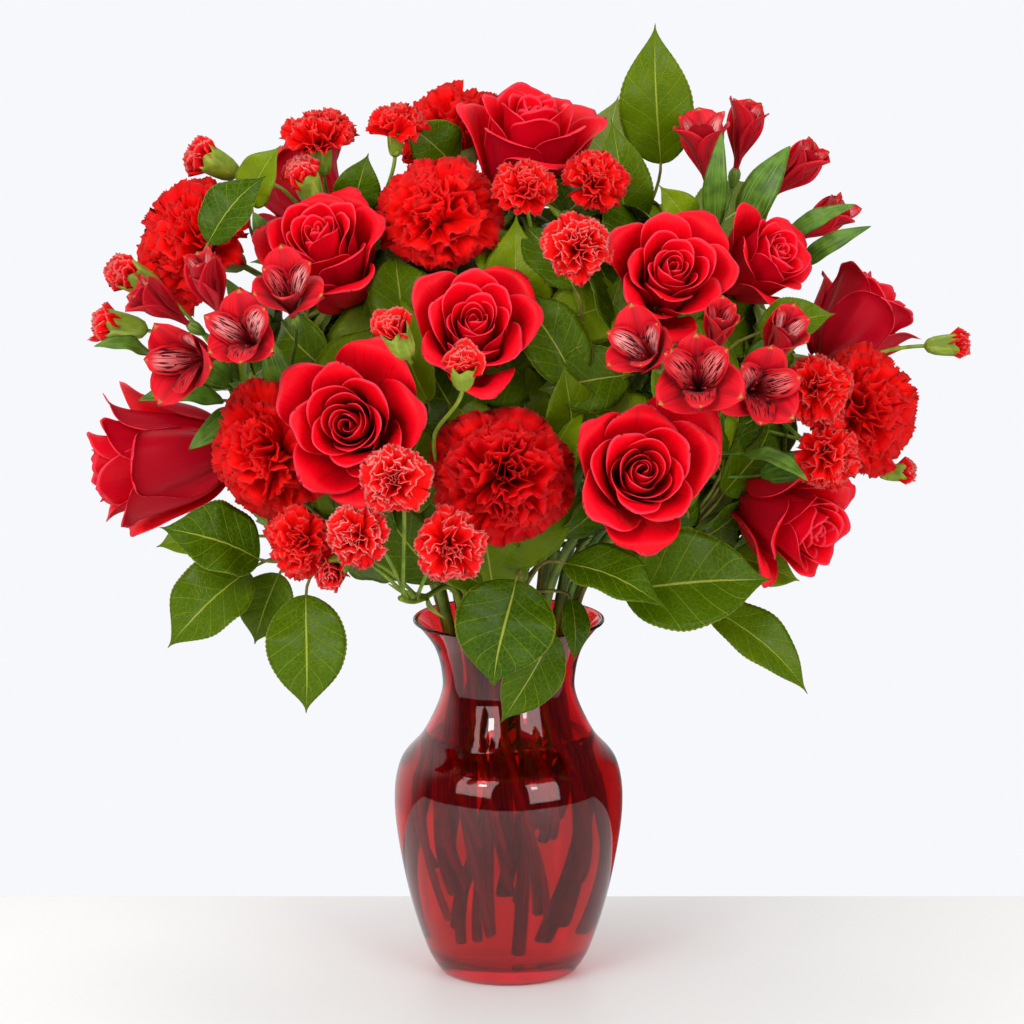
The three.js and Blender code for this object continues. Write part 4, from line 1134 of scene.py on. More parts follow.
# %% Ruffled blooms
def ruffled_bloom(
    radius, floor, centre, limit, count, rows, cols, chance,
    ruffle=0.1, pale=0.0, crown=0.74, tones=(0, 1), teeth=0.03,
):
    """Fans on claws. The middle line is a square curve from the claw at floor to a tip on the dome round
    centre, which reaches limit degrees from +Z, and crown is the height of its top as a share of the radius.
    Across the line lies a width that grows with v, turned about the line by an angle of its own. Square to
    the width stand two sines of u, which crimp the fan, and a cube of v, which bends its rim over. Every
    other point of the rim is pulled in to make the teeth. tones are the lowest and the highest tone."""
    own = lambda size: chance.normal(0, size, (count, 1, 1))
    wide = math.radians(limit)
    fans = np.arange(count)[:, None, None]
    t = (fans + 0.5) / count
    v = np.linspace(0, 1, rows)[None, :, None]
    u = np.linspace(-1, 1, cols)[None, None, :]
    # Where the tip of each fan lies on the dome.
    turn = GOLDEN * fans + own(0.15)
    slant = np.arccos(1 - t * (1 - math.cos(wide))) + own(0.09)
    uneven = 0.06 * np.sin(turn + 6 * chance.random()) + 0.05 * np.sin(3 * turn + 6 * chance.random())
    uneven = 1 + t * uneven + np.clip(own(0.065), -0.16, 0.08)
    reach = radius * (crown + (1 - crown) * slant / wide) * uneven
    tip_r, tip_z = reach * np.sin(slant) - 0.12 * radius * (1 - t) ** 8, centre + reach * np.cos(slant)
    # The middle line, w of the way up it, with its unit normal.
    notch = (np.arange(cols) % 2)[None, None, :] * chance.uniform(0.2 * teeth, teeth, (count, 1, cols))
    w = v * (1 - (0.1 + 0.1 * t) * u**2) - notch * v**5
    claw, knee_r, knee_z = 0.05 * radius, 0.07 * radius, centre * 0.85 + 0.05 * radius
    r = (1 - w) ** 2 * claw + 2 * (1 - w) * w * knee_r + w**2 * tip_r
    z = (1 - w) ** 2 * floor + 2 * (1 - w) * w * knee_z + w**2 * tip_z
    slope_r = 2 * (1 - w) * (knee_r - claw) + 2 * w * (tip_r - knee_r)
    slope_z = 2 * (1 - w) * (knee_z - floor) + 2 * w * (tip_z - knee_z)
    size = np.sqrt(slope_r**2 + slope_z**2)
    out_r, out_z = slope_z / size, -slope_r / size
    # The fan across it: its width, its crimps, and how far it is turned about the middle line.
    across = radius * (0.03 + (0.27 + 0.26 * t) * v**1.2 * (1 + own(0.12)))
    waves = 1.35 + 0.5 * t + own(0.25)
    crimp = np.sin(np.pi * waves * u + own(3)) + 0.45 * v * np.sin(np.pi * 2.7 * waves * u + own(3))
    crimp = (1 - 0.35 * t) * v**1.7 * crimp
    crimp = radius * (ruffle * crimp + (own(0.14) * (1 - t) + 0.1 * t) * v**3)
    twist = chance.uniform(-1.5, 1.5, (count, 1, 1)) * (1 - t**3) + own(0.15)
    aside = u * across * np.cos(twist) - crimp * np.sin(twist)
    off = u * across * np.sin(twist) + crimp * np.cos(twist)
    r, z = r + off * out_r, z + off * out_z
    x = r * np.cos(turn) - aside * np.sin(turn)
    y = r * np.sin(turn) + aside * np.cos(turn)
    middle = np.stack([x, y, z], -1)
    edge = pale * (1 - 0.6 * t) * chance.uniform(0.6, 1.2, (count, 1, 1)) if pale else 0.0
    tone = chance.uniform(*tones, (count, 1, 1))
    return sheets(middle[:, :, ::-1], 0.35, u[:, :, ::-1], v, tone=tone, layer=t, pale=edge)


print("ruffled blooms ready")

# %% [markdown]
# ## Under the carnation
#
# The claws stand in a calyx, a green tube that ends in five pointed teeth, with four short bracts round its
# foot. Narrow grey-green leaves stand in pairs at the joints of the stem and curl outwards.

# %% Calyx and leaves
# Rows of the calyx: the radius as a share of the mouth's, the height as a share of the length, and how much
# of a tooth's height is added there. The foot comes first, and the last two rows are inside.
CALYX = np.array([
    [0.62, 0.1, 0], [0.84, 0.3, 0], [0.95, 0.55, 0], [1, 0.8, 0.3],
    [1.06, 0.93, 1], [0.98, 0.93, 1], [0.8, 0.7, 0],
])
CALYX_SIDES, CALYX_TEETH, BRACTS = 30, 5, 4


def calyx(foot, mouth, length, chance, pale=0.15):
    """A tube closed at its foot, which swells to its mouth and ends in pointed teeth, with four bracts. A
    tooth is the cosine of half the angle times their number, to the power 1.5."""
    angle = np.linspace(0, 2 * np.pi, CALYX_SIDES, endpoint=False)
    tooth = np.abs(np.cos(CALYX_TEETH * angle / 2)) ** 1.5 * 0.16 * length
    rows = np.concatenate([[[foot, 0, 0]], CALYX * [mouth, length, 1]])
    parts = [turned(rows, CALYX_SIDES, wave=rows[:, 2:] * tooth, tone=chance.random(), pale=pale)]
    s = np.linspace(0, 1, 7)
    for k in range(BRACTS):
        a = 2 * math.pi * k / BRACTS + 0.4
        r = foot + (0.74 * mouth - foot) * np.sin(np.pi / 2 * s) + 0.5
        line = np.stack([r * math.cos(a), r * math.sin(a), length * (0.02 + 0.3 * s)], -1)
        half = 0.42 * mouth * np.sin(np.pi * (0.35 + 0.65 * s)) ** 0.8 + 0.15
        face, tone = [math.cos(a), math.sin(a), 0.2], chance.random()
        parts.append(blade(line, half, face, 0.4, cols=5, fold=-0.3, tone=tone, pale=0.3))
    return parts


def node_leaves(path, run, joints, chance, length=34):
    """A pair of narrow, curling leaves at each joint that stands above the rim."""
    parts = []
    s = np.linspace(0, 1, 17)[:, None]
    for at in joints:
        i = int(np.searchsorted(run, at))
        if i < 2 or i >= len(path) - 1 or path[i][2] < RIM_HEIGHT + 12:
            continue
        way = unit(path[i + 1] - path[i - 1])
        side = unit(np.cross(way, chance.normal(size=3)))
        for out in (-side, side):
            size = length * chance.uniform(0.7, 1.1)
            line = path[i] + way * size * (0.75 * s - 0.25 * s**3)
            line = line + out * (1.5 + size * (0.35 * s + 0.3 * s**3))
            half = 2.1 * np.sin(np.pi * (0.2 + 0.8 * s[:, 0])) ** 0.8 * (1 - 0.4 * s[:, 0]) + 0.2
            tone = chance.random()
            parts.append(blade(line, half, -out + 0.1 * way, 0.4, cols=5, fold=0.3, tone=tone, pale=0.2))
    return parts


# %% [markdown]
# ## A whole carnation
#
# 48 fans make a full head. Their dome is 12% wider than the bloom in the table, because the bent rims and
# the teeth fall short of it.

# %% Make the carnations
def make_carnation(name, bloom, chance):
    """One carnation: its petals, and its green with stem, calyx and leaves at the joints."""
    radius = bloom["width"] / 2
    way, base = base_of(bloom, 0.3 * radius)
    stem, path, run, joints = stem_tube(PLANTS[name], chance)
    cup = calyx(3.0, 0.19 * radius + 2, CALYX_LENGTH, chance)
    green = [stem] + [moved(p, base - CALYX_LENGTH * way, way) for p in cup]
    green += node_leaves(path, run, joints, chance)
    tones = (0.0, 0.45) if name == "carnation_front" else (0.3, 1.0)  # the front one is a deeper red
    petals = ruffled_bloom(
        1.12 * radius, -0.35 * radius, 0.12 * radius, 96, 48, 9, 31, chance,
        ruffle=0.14, tones=tones, teeth=0.026,
    )
    piece(name + "_bloom", [moved(petals, base, way)], carnation_petal, name + "_petals")
    piece(name + "_green", green, carnation_green, name + "_stem")


make_all(CARNATIONS, make_carnation, 200)

# %% [markdown]
# ## Forked plants
#
# A spray carnation, a lily and a branch each fork near the end of the stem. Each part grows from its own
# point inside the last stretch of the stem, one below the other, as in the CAD source. Its stalk is a smooth
# curve from there to the foot of the bloom, which may pass a point on the way.

# %% Roots and stalks
SUNK, ROOT_PITCH = 4, 6


def roots(path, run, count):
    """Points on the stem: the first lies SUNK below its end, and each further one a pitch below the last,
    but none deeper than a share of the stem that stands above the neck."""
    depth = np.minimum(SUNK + ROOT_PITCH * np.arange(count), 0.3 * (run[-1] - 190) + 20)
    return np.stack([np.interp(run[-1] - depth, run, path[:, k]) for k in range(3)], -1)


def stalk(root, item, foot, way):
    """The stalk from root to foot, through the point via when there is one. It arrives along way."""
    through, end = unit(foot - root), foot + 1.5 * way
    if "via" in item:
        via = np.array(item["via"], float)
        first = bezier(root, unit(via - root), via, through, 10, 0.33)
        line = np.concatenate([first[:-1], bezier(via, through, end, way, 14, 0.33)])
    else:
        line = bezier(root, unit(through + 0.3 * UP), end, way, 18, 0.3)
    return tube(line, 1.1, 7)


print("roots lie", ROOT_PITCH, "mm apart")

# %% [markdown]
# ## Spray carnations and their buds
#
# A small bloom is a carnation with fewer petals in a longer tube. A bud is a swollen calyx with the first
# petals pushing out of its mouth. Both are the carnation's own functions with other numbers.

# %% Make the spray carnations
def make_spray(name, parts, chance):
    """One spray: its petals, and its green with stem, stalks, calyxes and leaves."""
    stem, path, run, joints = stem_tube(PLANTS[name], chance)
    blooms, buds = parts["blooms"], parts["buds"]
    starts = roots(path, run, len(blooms + buds))
    petals, green = [], [stem] + node_leaves(path, run, joints, chance, 26)
    for k, (root, item) in enumerate(zip(starts, blooms + buds)):
        r, is_bloom = item["width"] / 2, k < len(blooms)
        way, foot = base_of(item, (0.72 if is_bloom else 1.3) * item["width"])
        green.append(stalk(root, item, foot, way))
        if is_bloom:
            cup = calyx(1.5, 0.27 * r, 0.8 * r, chance, pale=0.1)
            shape = ruffled_bloom(
                1.04 * r, 0.5 * r, 0.98 * r, 86, 24, 8, 21, chance,
                ruffle=0.16, pale=0.55 * item["pale"], crown=0.7, tones=(0.45, 1.0), teeth=0.05,
            )
        else:
            cup = calyx(1.6, 0.72 * r, 2.1 * r, chance, pale=0.1)
            shape = ruffled_bloom(
                1.6 * r, 0.9 * r, 1.45 * r, 27, 15, 8, 15, chance,
                ruffle=0.06, pale=0.36, crown=0.9, teeth=0.04,
            )
        green += [moved(p, foot, way) for p in cup]
        petals.append(moved(shape, foot, way))
    piece(name + "_petals", petals, carnation_petal, name)
    piece(name + "_green", green, spray_green, name)


make_all(SPRAYS, make_spray, 300)

# %% [markdown]
# ## Peruvian lilies
#
# Each floret is a trumpet of six petals on a green ovary. A petal is a spoon on a narrow claw: it leaves the
# throat steeply, widens, and turns out at its lip. The narrow streaked petals stand between the wide plain
# ones, and the floret is turned so that a streaked one is at its top. Six thin stamens curve forward in the
# mouth. They are so fine that they are part of the same piece as the petals.

# %% Lily florets
PETALS, OVARY_TOP = 6, 8
OVARY_PROFILE = [[1.1, -1], [2.4, 1.5], [3.5, 5], [3.4, OVARY_TOP], [2.2, 10.5], [1.0, 11.5]]


def lily_floret(r, spread, chance):
    """The petals of one floret along +Z from its ovary's foot. The half width rises smoothly to two thirds of
    the length and then rounds off as an ellipse. The distance from the axis is a share of v^1.5 and of v^4
    times the reach, and u squared hollows the spoon, with a wave along each side."""
    own = lambda size: chance.normal(0, size, (PETALS, 1, 1))
    k = np.arange(PETALS)[:, None, None]
    narrow = (k % 2).astype(float)
    u = np.linspace(-1, 1, 13)[None, None, :]
    v = np.linspace(0, 1, 21)[None, :, None]
    turn = np.pi * (k + 3.5) / 3 + own(0.07)
    reach = np.where(narrow > 0, 0.8, 1.06) * r * spread * (1 + own(0.1))
    length = 2.25 * r * (1 + 0.06 * narrow) * (1 + 0.1 * (1 - spread)) * (1 + own(0.05))
    breadth = np.where(narrow > 0, 0.36, 0.6) * r * (0.82 + 0.18 * spread) * (1 + own(0.07))
    rise = np.clip(v / 0.66, 0, 1)
    rise = (3 * rise**2 - 2 * rise**3) ** 1.15
    fall = np.sqrt(1 - np.clip((v - 0.66) / 0.34, 0, 1) ** 2.8)
    half = 0.75 + breadth * rise * fall - 0.55 * v**8
    out = 1.2 + reach * (0.72 * v**1.5 + 0.28 * v**4)
    up = length * (v - 0.1 * spread * v**4)
    hollow = half * (0.34 + own(0.08)) * u**2
    wave = 0.05 * np.sin(2.6 * np.pi * v + own(1)) + 0.03 * u * np.sin(5 * np.pi * v + own(2))
    hollow = hollow - r * v * u**2 * wave
    x = (out - hollow) * np.cos(turn) - u * half * np.sin(turn)
    y = (out - hollow) * np.sin(turn) + u * half * np.cos(turn)
    middle = np.stack([x, y, up + 0.3 * hollow], -1) + OVARY_TOP * UP
    tone = np.where(k == 1, 0.15, chance.uniform(0.4, 1.0, (PETALS, 1, 1)))  # one streaked petal stays red
    return sheets(middle[:, :, ::-1], 0.5, u[:, :, ::-1], v, tone=tone, layer=narrow)


def stamens(r, spread, chance):
    """Six curved threads from the throat, each with a small oval anther."""
    parts = []
    s, end = np.linspace(0, 1, 9), np.linspace(-1, 1, 6)
    for k in range(6):
        a = 2 * math.pi * k / 6 + chance.normal(0, 0.2)
        out = 0.8 + 0.2 * r * spread * s**1.5
        y = out * math.sin(a) - 0.05 * r * spread * s**2
        line = np.stack([out * math.cos(a), y, 9 + 1.75 * r * s * (1 - 0.1 * s)], -1)
        parts.append(tube(line, 0.35, 5, tone=0.2))
        anther = line[-1] + np.stack([0.3 * end, 0 * end, 1.2 * end], -1)
        parts.append(tube(anther, 0.75 * np.sqrt(1 - 0.9 * end**2), 6, tone=0.9, side=0.0, layer=1.0))
    return parts


print("a floret has", PETALS, "petals")

# %% [markdown]
# ## A whole lily
#
# The florets hang on stalks from the last stretch of the stem, and the strap leaves grow from below them. A
# few more straps fill the gaps behind the two lilies in front.

# %% Make the lilies
# Short leaves deep in the bouquet, which the CAD model leaves out.
INNER_STRAPS = {
    "lily_left": [
        leaf_at([-132, -66, 376], [-150, -96, 408], 16, [-0.2, -1, 0.4]),
        leaf_at([-136, -60, 330], [-172, -84, 316], 18, [-0.2, -1, 0.6]),
        leaf_at([-150, -62, 346], [-186, -78, 376], 17, [-0.3, -1, 0.4]),
        leaf_at([-116, -80, 340], [-130, -104, 382], 16, [-0.2, -1, 0.3]),
        leaf_at([-118, -40, 402], [-138, -50, 438], 18, [-0.2, -1, 0.3]),
    ],
    "lily_right": [
        leaf_at([132, -70, 328], [178, -90, 354], 18, [0, -1, 0.4]),
        leaf_at([136, -74, 298], [176, -94, 308], 18, [0.1, -1, 0.5]),
        leaf_at([126, -60, 354], [166, -68, 382], 16, [0, -1, 0.3]),
    ],
}


def make_lily(name, parts, chance):
    """One lily: its petals with their stamens, and its green with stem, stalks, ovaries and strap leaves."""
    stem, path, run, _ = stem_tube(PLANTS[name], chance)
    florets, straps = parts["florets"], parts["leaves"] + INNER_STRAPS.get(name, [])
    starts = roots(path, run, len(florets + straps))
    ovary = turned(OVARY_PROFILE, 12, tone=0.6, pale=0.2)
    petals, green = [], [stem]
    for root, item in zip(starts, florets):
        r, spread = item["width"] / 2, item["open"]
        way, foot = base_of(item, 1.95 * r)
        green += [stalk(root, item, foot, way), moved(ovary, foot, way)]
        petals += [moved(p, foot, way) for p in [*stamens(r, spread, chance), lily_floret(r, spread, chance)]]
    for root, item in zip(starts[len(florets) :], straps):
        green += strap_leaf_blade(root, item, chance)
    piece(name + "_petals", petals, lily_petal, name)
    piece(name + "_green", green, lily_green, name)


make_all(LILIES, make_lily, 400)

# %% [markdown]
# ## Filling leaves
#
# A florist fills a bouquet with foliage, so that no gap shows between the blooms. The CAD model holds the
# large leaves that show at the rim. The ones between the blooms are set here, on a shell that lies a little
# deeper than the blooms, and each hangs on the nearest branch. The shell is an egg-shaped surface, and the
# golden angle spreads the leaves evenly over it, as it does the petals of a rose.

# %% Where the filling leaves go
SHELL_MIDDLE, SHELL_SIZE, SHELL_LEAVES = np.array([2.0, -14, 322]), np.array([144.0, 94, 123]), 165
SHELL_DEPTHS = (1.0, 0.88, 0.76, 0.64, 0.52)  # tried in turn, until a leaf is clear of the blooms
LOWEST_LEAF = 226  # the rim stays clear
CLEAR_OF_RIM = 12


def shell_leaves(chance):
    """Inner leaves, spread evenly by the golden angle over an ellipsoid that lies inside the blooms. Each one
    points up along the shell, give or take 50 degrees, and looks outwards. A leaf that would meet a bloom
    is set deeper, and one that still does is left out."""
    heads = [(b, 0.5 * b["width"]) for b in [*ROSES.values(), *CARNATIONS.values()]]
    heads += [(b, 0.5 * b["width"]) for plant in SPRAYS.values() for b in plant["blooms"] + plant["buds"]]
    heads += [(b, 0.45 * b["width"]) for plant in LILIES.values() for b in plant["florets"]]
    middles = np.array([base_of(b, 0.35 * r)[1] for b, r in heads])
    sizes = 0.9 * np.array([r for _, r in heads])
    items = []
    for k in range(SHELL_LEAVES):
        rise, around = 1 - 1.55 * (k + 0.5) / SHELL_LEAVES, GOLDEN * k
        out = polar(math.sqrt(1 - rise**2), around, rise)
        face = unit(out / SHELL_SIZE)
        side = unit(np.cross(UP, face))
        lean = chance.normal(0, 0.8)
        way = math.cos(lean) * np.cross(face, side) + math.sin(lean) * side
        length, width = chance.uniform(48, 70), chance.uniform(32, 42)
        for depth in SHELL_DEPTHS:
            middle = SHELL_MIDDLE + SHELL_SIZE * out * depth
            line = middle + np.linspace(-0.5, 0.5, 7)[:, None] * length * way
            gaps = np.linalg.norm(line[:, None] - middles, axis=2)
            if np.all(gaps > sizes) and line[:, 2].min() > LOWEST_LEAF:
                items.append(leaf_at(line[0], line[-1], width, face + 0.25 * chance.normal(size=3)))
                break
    return items


def nearest_branch(item, paths):
    """The branch whose stem, above the rim, comes nearest to the leaf's base, and the point where it does. A
    point above the base counts as further away, because a leaf grows upwards."""
    best = None
    for name, path in paths.items():
        free = path[path[:, 2] > RIM_HEIGHT + CLEAR_OF_RIM]
        above = np.maximum(0, free[:, 2] - item["base"][2])
        gaps = np.linalg.norm(free - item["base"], axis=1) + 0.6 * above
        i = int(np.argmin(gaps))
        if best is None or gaps[i] < best[0]:
            best = (gaps[i], name, free[i])
    return best[1], best[2]


branch_paths = {name: stem_path(PLANTS[name]) for name in BRANCHES}
inner_leaves = {name: [] for name in BRANCHES}
for item in shell_leaves(np.random.default_rng(77)):
    name, root = nearest_branch(item, branch_paths)
    inner_leaves[name].append((root, item))
print("inner leaves:", {name: len(found) for name, found in inner_leaves.items()})

# %% [markdown]
# ## Lemon-leaf branches
#
# A branch is a thin woody stem whose leaves each have a short stalk. The leaves and the wood are two pieces,
# because their finishes differ. A filling leaf is seen only in part, so its grid is coarser.

# %% Make the branches
def make_branch(name, parts, chance):
    """One branch: its leaf blades, and its wood with stem and leaf stalks."""
    stem, path, run, _ = stem_tube(PLANTS[name], chance)
    starts = roots(path, run, len(parts["leaves"]))
    blades = [lemon_leaf_blade(root, item, chance) for root, item in zip(starts, parts["leaves"])]
    blades += [lemon_leaf_blade(root, item, chance, rows=31, cols=9) for root, item in inner_leaves[name]]
    leaves, stalks = zip(*blades)
    piece(name + "_leaves", leaves, lemon_leaf, name)
    piece(name + "_wood", [stem, *stalks], branch_bark, name)


make_all(BRANCHES, make_branch, 500)

# %% [markdown]
# ## The vase
#
# The vase is blown ruby glass. Its wall is turned from the same outline as the CAD's, through which a smooth
# curve runs. A blown wall is thinner where the glass was drawn out, so it thins from 3.5 mm in the belly to
# 2 mm along the neck, and its lip is rounded in the flame. The foot is a little hollow in the middle.

# %% Vase shape
VASE_OUTLINE = np.array([
    [37.5, 0], [46, 14], [56.5, 48], [63.8, 92], [61, 120],
    [48, 137], [38.2, 158], [37.4, 172], [42, 188], [53.5, 203],
])
WALL, NECK_WALL, FLOOR, WATER_LEVEL = 3.5, 2.0, 10.0, 137.0
THINS_FROM, THINS_OVER = 142, 40  # heights at which the wall thins towards the neck
LIP_RADIUS = 1.0
FOOT_PROFILE = [[0.05, 1.2], [20, 1.0], [30, 0.4], [34, 0.0], [36.5, 0.25], [38.2, 1.6]]
OUTLINE_STEPS = 14  # rings between two points of the outline


def smooth_outline(points, steps):
    """The curve through the points whose slope at each one is half the step between its neighbours
    (Catmull-Rom)."""
    p = np.concatenate([points[:1], points, points[-1:]])
    w = np.linspace(0, 1, steps, endpoint=False)[:, None]
    a, b, c, d = (p[i : i + len(points) - 1, None] for i in range(4))
    curve = 0.5 * (2 * b + (c - a) * w + (2 * a - 5 * b + 4 * c - d) * w**2 + (3 * b - a - 3 * c + d) * w**3)
    return np.concatenate([curve.reshape(-1, 2), points[-1:]])


def vase_profile(outside):
    """From the middle of the foot up the outside, over a round lip, down the inside and across the floor."""
    inside = outside[outside[:, 1] > FLOOR]
    thinned = np.clip((inside[:, 1] - THINS_FROM) / THINS_OVER, 0, 1)
    inside[:, 0] -= WALL - (WALL - NECK_WALL) * thinned
    lip_angle = np.linspace(-0.2 * np.pi, 0.9 * np.pi, 9)
    lip = outside[-1] + LIP_RADIUS * (np.stack([np.cos(lip_angle), np.sin(lip_angle)], -1) - 1)
    floor = [[inside[0, 0] - 1, FLOOR + 0.8], [inside[0, 0] - 4, FLOOR], [20, FLOOR], [0.05, FLOOR]]
    return np.concatenate([FOOT_PROFILE, outside[4:-1], lip, inside[-2:2:-1], floor])


vase_outside = smooth_outline(VASE_OUTLINE, OUTLINE_STEPS)
vase_line = vase_profile(vase_outside)
print("vase profile:", len(vase_line), "points, widest", round(2 * vase_line[:, 0].max(), 1), "mm")

# %% [markdown]
# ## Ruby glass and water
#
# Ruby glass is clear glass coloured all through with a little gold or selenium. Light that crosses its two
# walls comes out deep red, and a thin wall looks brighter than the thick floor. The water has hardly any
# colour, but it bends the light, so the stems in it look thicker. For rays that come from a lamp, both are
# plain filters. That lets light in to the stems and gives the soft pink shadow, at little cost in noise.

# %% Ruby glass and water
def let_lamps_through(material, tree, inputs, tint):
    """The material with its shader, and a tinted clear one in its place for rays that come from lamps."""
    is_shadow = add(tree, "LightPath", {}).outputs["Is Shadow Ray"]
    clear = add(tree, "BsdfTransparent", {0: tint})
    both = add(tree, "MixShader", {0: is_shadow, 1: add(tree, "BsdfPrincipled", inputs), 2: clear})
    add(tree, "OutputMaterial", {"Surface": both})
    return material


def ruby_glass_finish():
    """Blown soda glass: sharp mirror highlights over deep red, which swells a little from place to place."""
    material, tree, m = new_finish("ruby glass, blown")
    swells = add(tree, "TexNoise", {"Vector": m["spot"], "Scale": 16.0, "Detail": 1.0})  # 60 mm swells
    glass = {
        "Base Color": painted(tree, "#CC1620", ("#D81C28", swells, 0.3, 0.7, 1.0)),
        "Normal": add(tree, "Bump", {"Height": swells, "Strength": 0.12, "Distance": 0.002}),
        "Roughness": 0.02, "IOR": 1.5, "Transmission Weight": 1.0,
    }
    return let_lamps_through(material, tree, glass, "#E8505C")


def water_finish():
    """Clear water: no colour of its own, only a bright line where its edge climbs the glass."""
    material, tree, m = new_finish("water, clear")
    swells = add(tree, "TexNoise", {"Vector": m["spot"], "Scale": 30.0, "Detail": 1.0})  # 33 mm swells
    colour = painted(tree, "#F6F4F0", ("#FFFFFF", swells))
    water = {"Base Color": colour, "Roughness": 0.0, "IOR": 1.333, "Transmission Weight": 1.0}
    return let_lamps_through(material, tree, water, "#F6F6F6")


ruby_glass, clear_water = ruby_glass_finish(), water_finish()
piece("ruby_vase", [turned(vase_line, 160)], ruby_glass, "vase")
print("made", ruby_glass.name, "and", clear_water.name)

# %% [markdown]
# ## Water in the vase
#
# Where water touches glass there is no air, so its skin lies a hair inside the wall. Otherwise a silvery
# layer would show between them. Its edge climbs the glass by a millimetre.

# %% Water shape
OVERLAP = 0.15  # how far the water's skin reaches into the glass


def water_profile(outside):
    """From the middle of the floor along the inside of the wall, and across a level top."""
    inside = outside - [WALL - OVERLAP, 0]
    inside = inside[(inside[:, 1] > FLOOR + 1.5) & (inside[:, 1] < WATER_LEVEL - 0.5)]
    rim = np.interp(WATER_LEVEL, VASE_OUTLINE[:, 1], VASE_OUTLINE[:, 0]) - WALL + OVERLAP
    low, side = FLOOR - OVERLAP, inside[0, 0]
    base = [[0.05, low], [side - 4, low], [side - 0.8, FLOOR + 0.6]]
    climbs = [[rim, WATER_LEVEL + 1], [rim - 1.2, WATER_LEVEL + 0.2]]
    top = [[rim - 3, WATER_LEVEL], [20, WATER_LEVEL], [0.05, WATER_LEVEL]]
    return np.concatenate([base, inside, climbs, top])


piece("vase_water", [turned(water_profile(vase_outside), 96)], clear_water, "water")
print("whole bouquet:", sum(made.values()), "triangles in", len(made), "pieces")

# %% [markdown]
# ## Table
#
# The photograph was taken on a plain white table in front of a near-white wall. The table's back edge shows
# as a level line behind the vase, so the top is a slab that ends a little behind it.

# %% Table
def table_finish():
    """Satin white paint: it takes soft shadows and hardly mirrors the vase."""
    material, tree, m = new_finish("painted table, satin white")
    haze = add(tree, "TexNoise", {"Vector": m["spot"], "Scale": 4.0, "Detail": 2.0})  # 250 mm haze
    paint = painted(tree, "#E6E6E6", ("#EBEBEB", haze))
    return closed(material, tree, {"Base Color": paint, "Roughness": 0.5})


TABLE_SIDE, TABLE_FRONT, TABLE_BACK, TABLE_THICKNESS = 2.4, -2.6, 0.150, 0.03
sides, ends = (-TABLE_SIDE, TABLE_SIDE), (TABLE_FRONT, TABLE_BACK)
corners = [(sides[i], ends[j], 0.0) for i, j in ((0, 0), (1, 0), (1, 1), (0, 1))]
corners += [(x, y, -TABLE_THICKNESS) for x, y, _ in corners]
walls = [[i, i + 4, (i + 1) % 4 + 4, (i + 1) % 4] for i in range(4)]
table_mesh = bpy.data.meshes.new("table_top")
table_mesh.from_pydata(corners, [], [[0, 1, 2, 3], [7, 6, 5, 4], *walls])
table_mesh.materials.append(table_finish())
table_top = bpy.data.objects.new("table_top", table_mesh)
bpy.context.scene.collection.objects.link(table_top)
print("table back edge at", TABLE_BACK, "m")

# %% [markdown]
# ## Light
#
# A big softbox at the left and a weaker one at the right give soft light, each with a small bright bulb near
# its middle that draws a crisp highlight on the glass, and a top light lifts the heads of the blooms. They
# are square lamps of the size of a real softbox, because the size of a lamp sets how soft its shadows are.

# %% Softboxes
AIM = (0, 0, 0.3)  # the middle of the bouquet


def softbox(name, place, size, watts, colour="#FFFFFF"):
    """A square area lamp at place that looks at the bouquet."""
    lamp = bpy.data.lights.new(name, "AREA")
    lamp.shape, lamp.size, lamp.energy, lamp.color = "SQUARE", size, watts, hex_color(colour)[:3]
    thing = bpy.data.objects.new(name, lamp)
    thing.location = place
    back = unit(np.array(place, float) - AIM)
    right = unit(np.cross(UP, back))
    thing.rotation_euler = Matrix(np.stack([right, np.cross(back, right), back], -1).tolist()).to_euler()
    bpy.context.scene.collection.objects.link(thing)


softbox("key_softbox", (-1.5, -2.0, 1.6), 2.0, 44, "#FFFDFA")
softbox("key_bulb", (-1.1, -2.0, 1.5), 0.35, 7, "#FFFDFA")
softbox("fill_softbox", (1.6, -2.1, 1.1), 1.6, 30)
softbox("fill_bulb", (1.2, -2.3, 1.3), 0.3, 3.5)
softbox("top_softbox", (-0.2, 0.3, 2.2), 1.2, 8)
print("three softboxes and two bulbs")

# %% [markdown]
# ## The white room
#
# The room is white, but a mirror-like leaf or vase would look chalky if it mirrored only white. So the room
# that reflections see is dark in front and below, and bright behind and above, as a real studio is. The
# camera and rays that pass through the glass see the wall's own near-white.

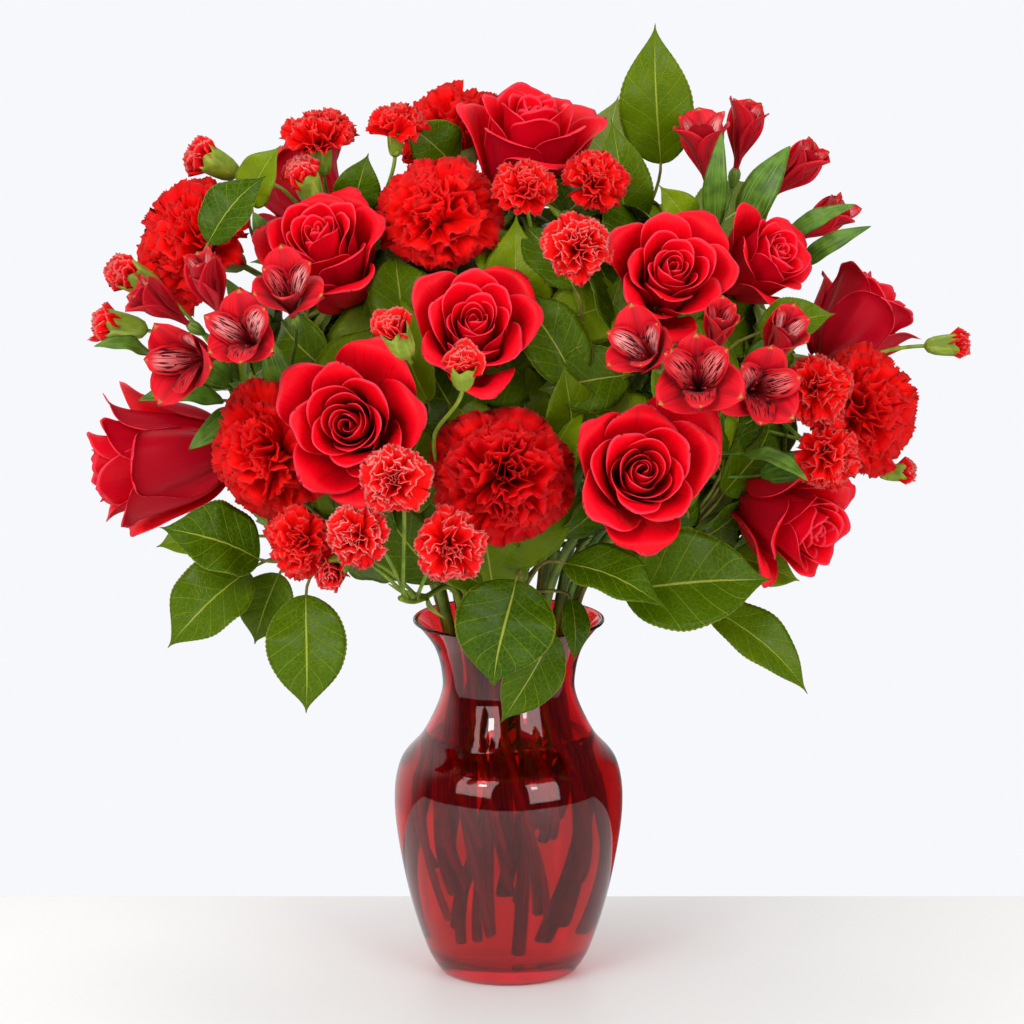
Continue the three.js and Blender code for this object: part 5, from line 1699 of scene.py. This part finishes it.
# %% White room
room = bpy.data.worlds.new("white room")
room.use_nodes = True
sky = room.node_tree
sky.nodes.clear()
seen = add(sky, "Background", {0: "#F7F8FC", 1: 1.0})
felt = add(sky, "Background", {0: "#FFFFFF", 1: 0.75})
# How bright a mirrored part of the room is follows its way: y less half of x, plus 0.6 times z.
way = add(sky, "SeparateXYZ", {0: add(sky, "TexCoord", {}).outputs["Generated"]}).outputs
leftwards = add(sky, "Math", {0: way[0], 1: -0.5, 2: way[1]}, operation="MULTIPLY_ADD")
upwards = add(sky, "Math", {0: way[2], 1: 0.6, 2: leftwards}, operation="MULTIPLY_ADD")
bright = {0: upwards, 1: 0.5, 2: 1.15, 3: 0.05, 4: 0.95}
wall = add(sky, "MapRange", bright, interpolation_type="SMOOTHSTEP")
mirrored = add(sky, "Background", {0: "#FFFFFF", 1: wall})
rays = add(sky, "LightPath", {}).outputs
straight = {0: rays["Is Camera Ray"], 1: rays["Is Transmission Ray"]}
unseen = add(sky, "MixShader", {0: rays["Is Glossy Ray"], 1: felt, 2: mirrored})
either = {0: add(sky, "Math", straight, operation="MAXIMUM"), 1: unseen, 2: seen}
add(sky, "OutputWorld", {"Surface": add(sky, "MixShader", either)})
scene = bpy.context.scene
scene.world = room
scene.view_settings.view_transform = "Standard"
scene.cycles.max_bounces = 20  # light crosses many walls of glass and water on its way out
scene.cycles.glossy_bounces = scene.cycles.transmission_bounces = 16
print("made the", room.name)

# %% [markdown]
# ## Camera
#
# The camera stands three metres away and a little above, so the bouquet is seen almost from the side. A long
# lens from far away keeps the blooms at the front from looking too large.

# %% Camera
TARGET, DISTANCE, ELEVATION = np.array([0.0019, 0.0, 0.263]), 3.0, math.radians(11.5)
lens = bpy.data.cameras.new("camera")
lens.sensor_width, lens.lens = 36.0, 189.7
camera = bpy.data.objects.new("camera", lens)
camera.location = TARGET + DISTANCE * np.array([0, -math.cos(ELEVATION), math.sin(ELEVATION)])
camera.rotation_euler = (math.pi / 2 - ELEVATION, 0, 0)
scene.collection.objects.link(camera)
scene.camera = camera
print("camera", round(DISTANCE, 2), "m away")
